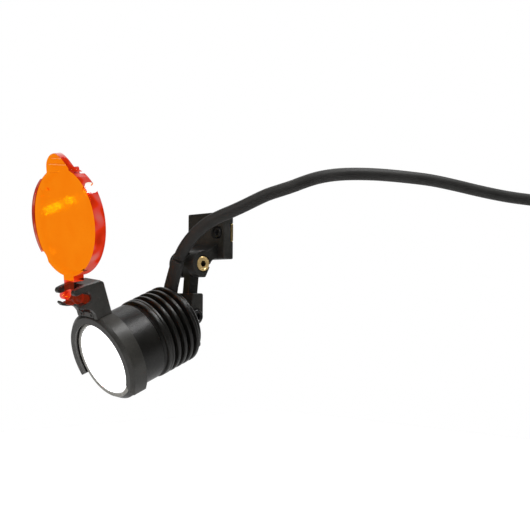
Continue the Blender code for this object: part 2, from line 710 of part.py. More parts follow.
def outlet_frame():
    """Frame of the cable outlet, its Y axis up along the strain relief."""
    base = Vector(ROUTE[0])
    rise = Vector(ROUTE[1]) - base
    turn = Vector((0.0, 1.0, 0.0)).rotation_difference(rise.normalized())
    return Matrix.Translation(base * MM) @ turn.to_matrix().to_4x4()


def outlet_height():
    """Length of the outlet boss along its own axis, from the route's first point."""
    frame = outlet_frame()
    lean = (frame.to_3x3() @ Vector((0.0, 1.0, 0.0))).z
    return (OUTLET_TOP - ROUTE[0][2]) / lean


def make_rear_cap():
    """Cap with the hinge tongue, the cable outlet and a hollow spigot."""
    black = black_anodised()
    spigot = REAR_POCKET - GAP
    front = CAP_FRONT - CAP_SPIGOT
    inside = CAP_FRONT + 0.6
    outline = [(0.0, inside), (CAP_HOLLOW, inside), (CAP_HOLLOW, front), (spigot, front), (spigot, CAP_FRONT),
               (CAP_RADIUS, CAP_FRONT), (CAP_RADIUS, CAP_BACK - 0.4), (CAP_RADIUS - 0.4, CAP_BACK),
               (0.0, CAP_BACK)]
    cap = turned("rear_cap", outline, black, LAMP)
    around = [(y + PIVOT_BACK, z) for y, z in arc((0.0, 0.0), TONGUE_RADIUS, -90.0, 90.0, 10)]
    tongue = prism("cap_tongue", [(CAP_BACK - 0.5, -TONGUE_ROOT), (CAP_BACK, -TONGUE_ROOT), *around,
                                  (CAP_BACK, TONGUE_ROOT), (CAP_BACK - 0.5, TONGUE_ROOT)],
                   -KNUCKLE_HALF, KNUCKLE_HALF, black, LAMP)
    outlet = outlet_frame()
    height = outlet_height()
    boss = rod("cap_outlet", OUTLET_RADIUS, -0.4, height, black, outlet, COARSE)
    shear = block("outlet_shear", (-2 * CAP_RADIUS, -CAP_RADIUS, -CAP_RADIUS),
                  (2 * CAP_RADIUS, CAP_FRONT, 3 * CAP_RADIUS), black, LAMP)
    cut(boss, shear)
    join(cap, boss, tongue)
    cut(cap, rod("outlet_bore", RELIEF_BASE + GAP, height - RELIEF_SUNK - GAP, height + 1.0, black, outlet),
        rod("outlet_wires", CORE_BORE - 0.3, -3.5, height, black, outlet, 12),
        rod("tongue_bore", SHANK + GAP, -2 * KNUCKLE_HALF, 2 * KNUCKLE_HALF, black, TILT @ ALONG_X))
    for index, angle in enumerate(CAP_SCREW_ANGLES):
        at = cap_screw_frame(angle)
        cut(cap, rod("cap_hole_%d" % index, CAP_SCREW_SHANK + GAP, front, CAP_BACK + 1.0, black, at, 12))
        seat = at @ moved(0.0, CAP_BACK + GAP, 0.0)
        socket_screw("rear_cap_screw_%d" % (index + 1), CAP_SCREW_HEAD, CAP_SCREW_HEIGHT, CAP_SCREW_SHANK,
                     CAP_SCREW_LENGTH, black_steel(), seat)


def make_leads(front):
    """Two thin leads from the board through the fins to the cable."""
    end = outlet_frame() @ Vector((0.0, (outlet_height() - RELIEF_SUNK - 0.6) * MM, 0.0))
    below = outlet_frame() @ Vector((0.0, -1.2 * MM, 0.0))
    colours = {"red": (0.6, 0.03, 0.02), "black": (0.02, 0.02, 0.02)}
    for side, label in ((-1, "red"), (1, "black")):
        shift = side * 0.6
        inside = [LAMP @ (Vector((shift, along, 0.0)) * MM) for along in (front, 14.0, 19.0, 21.0)]
        stops = [point / MM for point in (*inside, below, end)]
        stops[-2].x += shift
        stops[-1].x += shift
        points = smooth_route(stops, 1.2)
        tube("led_lead_" + label, points, [LEAD_RADIUS] * len(points), finish("lead_" + label, colours[label], 0.5))


# ---------------------------------------------------------------- filter holder

def cheek_outline():
    """Side of one bracket cheek with its open slot, as (y, z) in the holder's frame."""
    pin = (-TRUNNION_AHEAD, TRUNNION_UP)
    seat = (pin[0] + SLOT_SEAT, pin[1])
    opening = TRUNNION_RADIUS + GAP
    root = RING_BORE + 0.35
    corner = (CHEEK_BACK - CHEEK_CORNER, CHEEK_TOP - CHEEK_CORNER)
    tip = -JAW_REACH
    return [(CHEEK_BACK, root), *arc(corner, CHEEK_CORNER, 0.0, 90.0, 5),
            (-1.3, CHEEK_TOP + 0.45), (-3.4, CHEEK_TOP + 0.5),
            *arc((tip + 0.75, CHEEK_TOP - 0.3), 0.75, 100.0, 225.0, 5),
            (pin[0] - 1.4, pin[1] + opening), *arc(seat, opening, 90.0, -90.0, 8),
            (pin[0] - 1.6, pin[1] - opening), (tip + 0.1, pin[1] - 0.45), (tip - 0.3, pin[1] - 0.75),
            (tip + 0.2, pin[1] - 1.7), (-3.7, 15.2), (-2.2, BASE_TOP - 0.2), (-1.4, 13.9),
            (RING_FRONT, 12.8), (RING_FRONT, root)]


def ring_end_cutter(black):
    """Block that trims the ring's lower right end to an upright face."""
    turn = math.radians(RING_TRIM)
    edge = (RING_RADIUS * math.cos(turn), 0.0, RING_RADIUS * math.sin(turn))
    at = HOLDER @ moved(*edge) @ turned_about("Y", -RING_TRIM_TURN)
    return block("ring_end", (-9.0, RING_FRONT - 1.0, 0.0), (9.0, RING_BACK + 1.0, 9.0), black, at)


def make_filter_clip():
    """Spring ring round the bezel, with the two-cheeked bracket that holds the trunnion."""
    black = finish("holder_plastic", (0.075, 0.072, 0.064), 0.6)
    back_lip = RING_BACK - RING_HOOK_THICK
    lip = RING_FRONT + RING_LIP_THICK
    outline = [(RING_LIP, RING_FRONT), (RING_RADIUS - RING_CHAMFER, RING_FRONT),
               (RING_RADIUS, RING_FRONT + RING_CHAMFER), (RING_RADIUS, RING_BACK), (RING_HOOK, RING_BACK),
               (RING_HOOK, back_lip), (RING_BORE, back_lip), (RING_BORE, lip), (RING_LIP, lip)]
    start = HOLDER @ turned_about("Y", -RING_START)
    clip = turned("filter_clip", outline, black, start, FINE, RING_END - RING_START)
    cut(clip, ring_end_cutter(black))
    inner = CHEEK_HALF
    outer = CHEEK_HALF + CHEEK_WALL
    for side, label in ((1, "near"), (-1, "far")):
        low, high = sorted((side * inner, side * outer))
        cheek = prism("cheek_" + label, cheek_outline(), low, high, black, HOLDER)
        soften(cheek, CHEEK_EDGE)
        join(clip, cheek)
    web = block("cheek_web", (-inner - 0.5, -WEB_FRONT, CHEEK_TOP - 0.1 - WEB_THICK),
                (inner + 0.5, CHEEK_BACK - 0.15, CHEEK_TOP - 0.1), black, HOLDER)
    base = block("cheek_base", (-inner - 0.5, RING_FRONT + 0.1, RING_BORE + 0.45),
                 (inner + 0.5, CHEEK_BACK - 0.15, BASE_TOP - 0.6), black, HOLDER)
    join(clip, web, base)
    half = WINDOW_WIDTH / 2
    for side, label in ((1, "near"), (-1, "far")):
        centre = side * (half + 0.4)
        window = block("window_" + label, (centre - half, RING_FRONT - 3.0, WINDOW_UP - WINDOW_HEIGHT / 2),
                       (centre + half, RING_FRONT + WINDOW_DEPTH, WINDOW_UP + WINDOW_HEIGHT / 2), black, HOLDER)
        cut(clip, window)


def cup_outline(inset):
    """Outline of the disc and its tab together, as (x, z) from the disc's centre."""
    radius = FILTER_RADIUS - inset
    half = TAB_HALF - inset
    rise = TAB_RISE - inset
    peak = TAB_SHIFT - TAB_PEAK
    reach = half + TAB_PEAK - TAB_TRIM
    right = math.degrees(math.acos((peak + reach) / radius))
    left = math.degrees(math.acos((TAB_SHIFT - half) / radius))
    shares = [1.0 - i / 6 for i in range(6)]
    slant = [(peak + reach * part, TAB_SHOULDER + rise * (1.0 - part ** TAB_SLANT)) for part in shares]
    rounded = [(peak + (half - TAB_PEAK) * x, TAB_SHOULDER + rise * z)
               for x, z in arc((0.0, 0.0), 1.0, 90.0, 180.0, 6)]
    return [*arc((0.0, 0.0), radius, left, right + 360.0, 50), *slant, *rounded]


def plate(name, outline, low, high, material, frame):
    """Run a front outline of (x, z) points along the frame's Y axis from low to high."""
    return prism(name, [(-x, z) for x, z in outline], low, high, material, frame @ turned_about("Z", 90.0))


def make_filter():
    """Orange cup with a finger tab and a side lip, and the leg and trunnion it flips on."""
    amber = orange_filter()
    disc = FILTER @ moved(0.0, 0.0, TRUNNION_UP)
    back = FILTER_FACE + CUP_DEPTH
    cup = plate("filter_cup", cup_outline(0.0), FILTER_FACE, back, amber, disc)
    hollow = plate("cup_hollow", cup_outline(SKIRT_WALL), FILTER_FACE + FILTER_THICK, back + 1.0, amber, disc)
    inner = LIP_RADIUS - LIP_WIDTH
    outline = [(inner, FILTER_FACE - LIP_FRONT), (LIP_RADIUS, FILTER_FACE - LIP_FRONT),
               (LIP_RADIUS, FILTER_FACE + LIP_BACK), (inner, FILTER_FACE + LIP_BACK)]
    lip = turned("cup_lip", outline, amber, disc @ turned_about("Y", -LIP_START), FINE // 2, LIP_SWEEP)
    cut(cup, hollow)
    join(cup, lip)
    cut(cup, *filter_notches(amber, disc, back))
    join(cup, *filter_leg(amber))


def filter_notches(amber, disc, back):
    """Round notches and slits in the skirt, the scallop in the disc and the tab's lower edge."""
    above = TAB_SHOULDER + 0.2
    tools = [block("tab_edge", (-2 * TAB_HALF, FILTER_FACE + TAB_DEPTH, above),
                   (2 * TAB_HALF, back + 1.0, above + 2 * TAB_RISE), amber, disc)]
    for side in (-1, 1):
        low, high = sorted((side * TAB_HALF * 0.5, side * TAB_HALF * 1.5))
        tools.append(block("tab_slit_%d" % side, (low, FILTER_FACE + CUP_DEPTH / 2, above - SLIT_DROP - SLIT_HEIGHT),
                           (high, back + 1.0, above - SLIT_DROP), amber, disc))
    for index, angle in enumerate((NOTCH_ANGLE, 180.0 - NOTCH_ANGLE)):
        at = disc @ turned_about("Y", -angle) @ moved(0.0, FILTER_FACE + NOTCH_DEPTH, 0.0) @ ALONG_X
        tools.append(rod("skirt_notch_%d" % index, NOTCH_RADIUS, FILTER_RADIUS - 3.0, FILTER_RADIUS + 3.0,
                         amber, at, COARSE))
    reach = FILTER_RADIUS + SCALLOP_RADIUS - SCALLOP_DEPTH
    at = disc @ turned_about("Y", -SCALLOP_ANGLE) @ moved(reach, 0.0, 0.0)
    tools.append(rod("rim_scallop", SCALLOP_RADIUS, FILTER_FACE - 2.0, back + 1.0, amber, at, COARSE))
    return tools


def filter_leg(amber):
    """Neck, leg and the cross bar that clicks into the holder's slots."""
    neck_top = TRUNNION_UP - FILTER_RADIUS + 0.8
    neck = block("leg_neck", (NECK_SHIFT - NECK_HALF, FILTER_FACE + 0.05, NECK_FOOT),
                 (NECK_SHIFT + NECK_HALF, FILTER_FACE + NECK_DEPTH, neck_top), amber, FILTER)
    leg = block("leg_strap", (LEG_SHIFT - LEG_HALF, FILTER_FACE + 0.02, -LEG_TAIL),
                (LEG_SHIFT + LEG_HALF, FILTER_FACE + LEG_THICK, neck_top - 0.3), amber, FILTER)
    soften(leg, 0.2)
    axis = FILTER @ ALONG_X
    hub = rod("leg_hub", HUB_RADIUS, LEG_SHIFT - LEG_HALF + 0.3, LEG_SHIFT + LEG_HALF + 1.2, amber, axis, COARSE)
    bar = rod("leg_trunnion", TRUNNION_RADIUS, -TRUNNION_HALF, TRUNNION_HALF, amber, axis, COARSE)
    return neck, leg, hub, bar


# ---------------------------------------------------------------- cable

def cut_route(points, start, stop):
    """The part of an even route between two distances along it, both ends exact."""
    kept = []
    reach = 0.0
    for one, two in zip(points, points[1:]):
        length = (two - one).length
        if reach < start <= reach + length:
            kept.append(one.lerp(two, (start - reach) / length))
        if start < reach + length < stop:
            kept.append(two)
        if reach < stop <= reach + length:
            kept.append(one.lerp(two, (stop - reach) / length))
        reach += length
    return kept


def make_cable():
    """Strain relief in the outlet, the cable's free run, its coil and its tail."""
    run = smooth_route(ROUTE, 0.9)
    total = sum((two - one).length for one, two in zip(run, run[1:]))
    low = outlet_height() - RELIEF_SUNK
    high = outlet_height() + RELIEF_LENGTH
    relief = cut_route(run, low, high)[::2]
    relief.append(cut_route(run, low, high)[-1])
    share = [i / (len(relief) - 1) for i in range(len(relief))]
    radii = [RELIEF_BASE + (CABLE + 0.06 - RELIEF_BASE) * part for part in share]
    tube("strain_relief", relief, radii, black_rubber())
    long_run = cut_route(run, high + 0.3, total)
    lead = [*long_run[:-1][::2], long_run[-1]]
    tube("cord_lead", lead, [CABLE] * len(lead), black_rubber())
    coil = moved(*COIL_CENTRE)
    ring("cord_coil", COIL_INNER, COIL_OUTER, -COIL_HALF, COIL_HALF, black_rubber(), coil @ ALONG_X, FINE)
    make_tie(coil)
    x, y, z = COIL_CENTRE
    x -= TAIL_SHIFT
    top = z - TAIL_START
    tail = [Vector((x, y + TAIL_RADIUS, top - TAIL_LENGTH * i / 3)) for i in range(4)]
    tube("cord_tail", tail, [CABLE] * len(tail), black_rubber())
    return moved(x, y + TAIL_RADIUS, top - TAIL_LENGTH - 0.3) @ turned_about("X", -90.0)


def make_tie(coil):
    """Hook-and-loop strap round the coil's turns."""
    grey = finish("tie_strap", (0.03, 0.03, 0.03), 0.9)
    middle = (COIL_OUTER + COIL_INNER) / 2
    at = coil @ turned_about("X", TIE_ANGLE) @ moved(0.0, middle, 0.0) @ turned_about("Y", 90.0)
    room_y = (COIL_OUTER - COIL_INNER) / 2 + GAP + 0.25
    room_z = COIL_HALF + GAP
    half = TIE_WIDTH / 2
    strap = block("cord_tie", (-half, -room_y - TIE_THICK, -room_z - TIE_THICK),
                  (half, room_y + TIE_THICK, room_z + TIE_THICK), grey, at)
    soften(strap, 0.4)
    cut(strap, block("tie_opening", (-TIE_WIDTH, -room_y, -room_z), (TIE_WIDTH, room_y, room_z), grey, at))


def make_plug(frame):
    """Round power plug: moulded grip, metal sleeve, insulating liner and inner contact."""
    neck = PLUG_NECK_LENGTH
    back = neck + PLUG_GRIP_LENGTH
    seat = back - PLUG_SUNK
    black = black_rubber()
    outline = [(0.0, 0.0), (PLUG_NECK - 0.3, 0.0), (PLUG_NECK, neck - 1.0), (PLUG_GRIP - 0.7, neck),
               (PLUG_GRIP, neck + 1.5), (PLUG_GRIP, back - 0.6), (PLUG_GRIP - 0.6, back), (PLUG_SLEEVE + GAP, back),
               (PLUG_SLEEVE + GAP, seat), (0.0, seat)]
    turned("plug_body", outline, black, frame, COARSE)
    root = seat + GAP
    tip = back + PLUG_SLEEVE_LENGTH
    ring("plug_sleeve", PLUG_SLEEVE_BORE, PLUG_SLEEVE, root, tip, bright_steel(), frame)
    liner = PLUG_SLEEVE_BORE - GAP
    ring("plug_liner", PLUG_LINER_BORE, liner, root, tip - 0.3, black, frame)
    ring("plug_contact", PLUG_CONTACT_BORE, PLUG_LINER_BORE - GAP, root, tip - 0.6, brass(), frame)


def clear_scene():
    for old in list(bpy.data.objects):
        bpy.data.objects.remove(old)


def build():
    """Make every piece of the headlight."""
    clear_scene()
    make_mount_block()
    make_fixings()
    hinge_seat = LUG_HALF - HEAD_HEIGHT
    make_pivot_hardware("hinge", HINGE, hinge_seat, LUG_HALF - NUT_HEIGHT, HEAD, HEAD_HEIGHT, brass())
    make_link()
    tilt_seat = FORK_HALF - TILT_SEAT + GAP
    make_pivot_hardware("tilt", TILT, tilt_seat, FORK_HALF + GAP, TILT_HEAD, TILT_HEAD_HEIGHT, black_steel())
    make_barrel()
    make_leads(make_light_engine(make_lens()))
    make_heat_sink()
    make_rear_cap()
    make_filter_clip()
    make_filter()
    make_plug(make_cable())


build()
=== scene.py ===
"""Looks of a clip-on dental headlight with a flip-up orange curing filter.

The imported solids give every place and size.  Each class below dresses one sub-assembly:
it gives the solids their finishes and makes the finer pieces that stand for some of them.
Lengths are millimetres in the fields and metres in the meshes.
"""
import json
import logging
import math
from dataclasses import dataclass, field
from enum import Enum

import bmesh
import bpy
from mathutils import Matrix, Vector

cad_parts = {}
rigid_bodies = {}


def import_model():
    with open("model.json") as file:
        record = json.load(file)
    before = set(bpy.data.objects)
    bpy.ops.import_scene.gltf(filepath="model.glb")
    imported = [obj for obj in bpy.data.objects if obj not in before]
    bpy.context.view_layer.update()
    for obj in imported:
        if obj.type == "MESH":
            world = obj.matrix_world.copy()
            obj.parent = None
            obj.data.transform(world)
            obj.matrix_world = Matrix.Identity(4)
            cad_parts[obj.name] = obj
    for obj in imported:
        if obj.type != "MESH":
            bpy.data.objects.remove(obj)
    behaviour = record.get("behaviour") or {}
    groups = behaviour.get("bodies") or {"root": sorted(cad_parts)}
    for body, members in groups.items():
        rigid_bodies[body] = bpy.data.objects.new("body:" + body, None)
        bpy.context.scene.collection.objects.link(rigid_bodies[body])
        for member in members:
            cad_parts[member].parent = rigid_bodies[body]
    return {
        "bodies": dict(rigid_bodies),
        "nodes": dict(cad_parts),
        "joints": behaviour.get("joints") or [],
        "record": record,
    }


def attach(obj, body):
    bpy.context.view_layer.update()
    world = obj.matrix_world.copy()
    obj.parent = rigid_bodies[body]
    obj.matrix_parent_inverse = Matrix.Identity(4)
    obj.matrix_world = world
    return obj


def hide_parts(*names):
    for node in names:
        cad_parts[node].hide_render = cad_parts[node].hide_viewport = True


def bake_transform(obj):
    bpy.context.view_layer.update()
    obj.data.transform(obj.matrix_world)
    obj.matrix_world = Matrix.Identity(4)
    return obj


MM = 0.001
WELD = 1e-7
FINE_EDGE = (0.05, 2)
SOFT_EDGE = (0.08, 2)
TURNED_EDGE = (0.07, 2, 25.0)
WHITE = (1.0, 1.0, 1.0)
BLACK = (0.0, 0.0, 0.0)
log = logging.getLogger("headlight")

Point = tuple[float, float, float]
Flat = list[tuple[float, float]]
Piece = bpy.types.Object
Socket = bpy.types.NodeSocket


# ---------------------------------------------------------------- frames

def shifted(x: float, y: float, z: float) -> Matrix:
    """Matrix that moves by a distance in millimetres."""
    return Matrix.Translation(Vector((x, y, z)) * MM)


def turned(axis: str, degrees: float) -> Matrix:
    """Matrix that turns about one axis of the frame."""
    return Matrix.Rotation(math.radians(degrees), 4, axis)


HOME = Matrix.Identity(4)
ALONG_X = turned("Z", -90.0)


class Frames:
    """Places of the sub-assemblies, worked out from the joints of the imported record."""

    PIVOT_BACK = 27.0
    HEAD_TILT = 22.6
    HOLDER_TURN = 6.86
    TRUNNION_AHEAD = 2.82
    TRUNNION_UP = 17.5
    FILTER_OPEN = 12.67
    LINK_LEAN = 5.2

    def __init__(self, joints: list[dict]) -> None:
        """Args: joints: the joints of the frame."""
        pivots = {joint["name"]: Vector(joint["pos_m"]) for joint in joints}
        self.hinge = Matrix.Translation(pivots["mount_hinge"])
        self.link = self.hinge @ turned("X", -self.LINK_LEAN)
        self.tilt = Matrix.Translation(pivots["head_tilt"])
        self.lamp = self.tilt @ turned("X", self.HEAD_TILT) @ shifted(0.0, -self.PIVOT_BACK, 0.0)
        self.holder = self.lamp @ turned("Y", self.HOLDER_TURN)
        self.trunnion = self.holder @ shifted(0.0, -self.TRUNNION_AHEAD, self.TRUNNION_UP)
        self.filter = self.trunnion @ turned("X", -self.FILTER_OPEN)


# ---------------------------------------------------------------- shader nodes

class Nodes:
    """Short way to add and join the nodes of one tree."""

    def __init__(self, tree: bpy.types.NodeTree) -> None:
        """Args: tree: the node tree to work in."""
        self.tree = tree

    def feed(self, node: bpy.types.Node, inputs: dict) -> None:
        """Join sockets to a node's inputs, or set their numbers and colours.

        Args:
            node: the node.
            inputs: a socket, number or colour for each named or numbered input.
        """
        for place, value in inputs.items():
            if isinstance(value, Socket):
                self.tree.links.new(value, node.inputs[place])
            else:
                node.inputs[place].default_value = value

    def add(self, kind: str, inputs: dict | None = None, **values: object) -> bpy.types.Node:
        """Add a node.

        Args:
            kind: Blender's name of the node type.
            inputs: what its inputs get.
            values: properties to set on it.

        Returns:
            The new node.
        """
        node = self.tree.nodes.new(kind)
        for name, value in values.items():
            setattr(node, name, value)
        self.feed(node, inputs or {})
        return node

    def place(self, way: str = "Object") -> Socket:
        """One output of the texture coordinates."""
        return self.add("ShaderNodeTexCoord").outputs[way]

    def maths(self, operation: str, one: object, two: object) -> Socket:
        """The result of Blender's operation of this name on two numbers or sockets."""
        return self.add("ShaderNodeMath", {0: one, 1: two}, operation=operation).outputs[0]

    def dot(self, one: object, two: object) -> Socket:
        """The dot product of two vectors."""
        node = self.add("ShaderNodeVectorMath", {0: one, 1: two}, operation="DOT_PRODUCT")
        return node.outputs["Value"]

    def noise(self, scale: object, detail: float) -> Socket:
        """Noise that stays on the object."""
        inputs = {"Vector": self.place(), "Scale": scale, "Detail": detail}
        return self.add("ShaderNodeTexNoise", inputs).outputs["Fac"]

    def span(self, value: Socket, to: tuple[float, float],
             of: tuple[float, float] = (0.0, 1.0), **values: object) -> Socket:
        """A value's range mapped to another.

        Args:
            value: the value.
            to: the new range.
            of: the range that it has.
            values: properties to set on the node.

        Returns:
            The mapped value.
        """
        inputs = {"Value": value, "From Min": of[0], "From Max": of[1],
                  "To Min": to[0], "To Max": to[1]}
        return self.add("ShaderNodeMapRange", inputs, **values).outputs["Result"]

    def mix(self, share: Socket, one: object, two: object) -> Socket:
        """The first colour, which turns into the second as the share grows."""
        one, two = (part if isinstance(part, Socket) else (*part, 1.0) for part in (one, two))
        return self.add("ShaderNodeMix", {0: share, 6: one, 7: two}, data_type="RGBA").outputs[2]

    def ramp(self, share: Socket, *stops: tuple[float, Point]) -> Socket:
        """A colour ramp; its first two stops are its ends.

        Args:
            share: what picks the colour.
            stops: places on the ramp with their colours.

        Returns:
            The picked colour.
        """
        node = self.add("ShaderNodeValToRGB", {"Fac": share})
        marks = node.color_ramp.elements
        for index, (position, colour) in enumerate(stops):
            mark = marks[index] if index < 2 else marks.new(position)
            mark.position = position
            mark.color = (*colour, 1.0)
        return node.outputs["Color"]

    def shared(self, name: str, inputs: dict) -> bpy.types.Node:
        """Use one of the shared groups, which is made on first use.

        Args:
            name: the group's name.
            inputs: what its inputs get.

        Returns:
            The group's node.
        """
        group = bpy.data.node_groups.get(name)
        if not group:
            fill, ways = SHARED[name]
            group = bpy.data.node_groups.new(name, "ShaderNodeTree")
            for way, sockets in zip(("INPUT", "OUTPUT"), ways):
                for label, kind in sockets.items():
                    group.interface.new_socket(label, in_out=way, socket_type="NodeSocket" + kind)
            nodes = Nodes(group)
            nodes.add("NodeGroupOutput", fill(nodes, nodes.add("NodeGroupInput").outputs))
        return self.add("ShaderNodeGroup", inputs, node_tree=group)


def fine_grain(nodes: Nodes, given: bpy.types.NodeOutputs) -> dict[str, Socket]:
    """A mottled mask and the height of its finer half.

    Args:
        nodes: the group's nodes.
        given: the group's inputs, the Scale of the finer half among them.

    Returns:
        The group's outputs by name.
    """
    fine = nodes.noise(given["Scale"], 3.0)
    broad = nodes.noise(180.0, 2.0)
    mask = nodes.maths("ADD", nodes.maths("MULTIPLY", fine, 0.45),
                       nodes.maths("MULTIPLY", broad, 0.55))
    return {"Mask": mask, "Height": fine}


def stray_dust(nodes: Nodes, given: bpy.types.NodeOutputs) -> dict[str, Socket]:
    """A mask of stray specks of dust, in a share of the cells of a pattern.

    Args:
        nodes: the group's nodes.
        given: the group's inputs, the cells' Scale and the Amount that hold a speck.

    Returns:
        The group's outputs by name.
    """
    cells = nodes.add("ShaderNodeTexVoronoi", {"Vector": nodes.place(), "Scale": given["Scale"]})
    pick = nodes.add("ShaderNodeSeparateColor", {"Color": cells.outputs["Color"]}).outputs
    chosen = nodes.maths("LESS_THAN", pick["Red"], given["Amount"])
    near = nodes.maths("LESS_THAN", cells.outputs["Distance"],
                       nodes.maths("MULTIPLY", pick["Green"], 0.16))
    return {"Mask": nodes.maths("MULTIPLY", chosen, near)}


def lathe_rings(nodes: Nodes, given: bpy.types.NodeOutputs) -> dict[str, Socket]:
    """The fine rings that a lathe leaves, level along a turned piece's axis.

    Args:
        nodes: the group's nodes.
        given: the group's inputs, the Axis and the Scale of the rings along it.

    Returns:
        The group's outputs by name.
    """
    along = nodes.maths("MULTIPLY", nodes.dot(nodes.place(), given["Axis"]), given["Scale"])
    rings = nodes.add("ShaderNodeTexNoise", {"W": along, "Detail": 2.0, "Scale": 1.0},
                      noise_dimensions="1D")
    return {"Height": rings.outputs["Fac"]}


SHARED = {
    "fine_grain": (fine_grain, ({"Scale": "Float"}, {"Mask": "Float", "Height": "Float"})),
    "stray_dust": (stray_dust, ({"Scale": "Float", "Amount": "Float"}, {"Mask": "Float"})),
    "lathe_rings": (lathe_rings, ({"Axis": "Vector", "Scale": "Float"}, {"Height": "Float"})),
}


# ---------------------------------------------------------------- finishes

class Surface(Enum):
    """How a piece's surface was made, which picks the relief over its grain."""

    MOULDED = "moulded"
    TURNED = "turned"


@dataclass(frozen=True)
class Coating:
    """A named material for one of the record's slots."""

    name: str
    slot: str

    def material(self) -> bpy.types.Material:
        """The coating as a material.

        Returns:
            The material, which is made on first use.
        """
        material = bpy.data.materials.get(self.name)
        if not material:
            material = bpy.data.materials.new(self.name)
            material.use_nodes = True
            self.paint(Nodes(material.node_tree), material.node_tree.nodes["Principled BSDF"])
        return material

    def paint(self, nodes: Nodes, shader: bpy.types.Node) -> None:
        """Set the shader up, which each kind of coating does in its own way."""
        raise NotImplementedError


@dataclass(frozen=True)
class Finish(Coating):
    """A surface with a fine grain in its colour, roughness and relief."""

    dark: Point
    light: Point
    roughness: float
    metallic: float = 0.0
    grain: float = 2600.0
    relief: float = 0.00001
    spread: float = 0.12
    specular: float = 0.5
    dust: float = 0.0
    dust_scale: float = 750.0
    dust_colour: Point = (0.3, 0.28, 0.26)
    surface: Surface = Surface.MOULDED
    axis: Point = (1.0, 0.0, 0.0)
    rings: float = 5200.0
    # Painted shade: below recess along X, in millimetres, the colour turns to a dark colour that
    # stands for the shadow in a recess.
    recess: float = 0.0
    recess_painted_shade: Point = (0.035, 0.024, 0.01)

    def paint(self, nodes: Nodes, shader: bpy.types.Node) -> None:
        """Set up the grain, the painted shade in a recess and dust over it, and the relief.

        Args:
            nodes: the material's nodes.
            shader: the material's shader.
        """
        grain = nodes.shared("fine_grain", {"Scale": self.grain}).outputs
        colour = nodes.ramp(grain["Mask"], (0.36, self.dark), (0.66, self.light))
        rough = (self.roughness - self.spread / 2, self.roughness + self.spread / 2)
        bump = nodes.add("ShaderNodeBump", {"Strength": 0.5, "Distance": self.relief,
                                            "Height": self.height(nodes, grain["Height"])})
        nodes.feed(shader, {
            "Base Color": self.dusted(nodes, self.with_painted_recess_shade(nodes, colour)),
            "Roughness": nodes.span(grain["Mask"], rough),
            "Normal": bump.outputs["Normal"],
            "Metallic": self.metallic,
            "Specular IOR Level": self.specular,
        })

    def with_painted_recess_shade(self, nodes: Nodes, colour: Socket) -> Socket:
        """The colour, darkened with painted shade in the recess of a head that looks along +X.

        Args:
            nodes: the material's nodes.
            colour: the clean colour.

        Returns:
            The colour to use.
        """
        if not self.recess:
            return colour
        parts = nodes.add("ShaderNodeSeparateXYZ", {"Vector": nodes.place()}).outputs
        # painted shade: the dark colour wherever X lies below recess
        return nodes.mix(nodes.maths("LESS_THAN", parts["X"], self.recess * MM), colour, self.recess_painted_shade)

    def dusted(self, nodes: Nodes, colour: Socket) -> Socket:
        """The colour, with stray specks over it.

        Args:
            nodes: the material's nodes.
            colour: the clean colour.

        Returns:
            The colour to use.
        """
        if not self.dust:
            return colour
        dust = nodes.shared("stray_dust", {"Scale": self.dust_scale, "Amount": self.dust})
        return nodes.mix(dust.outputs["Mask"], colour, self.dust_colour)

    def height(self, nodes: Nodes, grain: Socket) -> Socket:
        """The relief, with a lathe's rings on a turned piece.

        Args:
            nodes: the material's nodes.
            grain: the grain's height.

        Returns:
            The height to use.
        """
        if self.surface is Surface.MOULDED:
            return grain
        rings = nodes.shared("lathe_rings", {"Axis": self.axis, "Scale": self.rings})
        return nodes.maths("ADD", grain, nodes.maths("MULTIPLY", rings.outputs["Height"], 0.5))


@dataclass(frozen=True)
class LitLens(Coating):
    """The lens as it looks when the lamp is on."""

    strength: float = 1.6
    cool: Point = (0.96, 0.98, 1.0)

    def paint(self, nodes: Nodes, shader: bpy.types.Node) -> None:
        """Set up a white glow with a faint cloud in it.

        Args:
            nodes: the material's nodes.
            shader: the material's shader.
        """
        tint = nodes.ramp(nodes.noise(90.0, 2.0), (0.0, self.cool), (1.0, WHITE))
        nodes.feed(shader, {"Base Color": tint, "Emission Color": tint,
                            "Emission Strength": self.strength, "Roughness": 0.08})


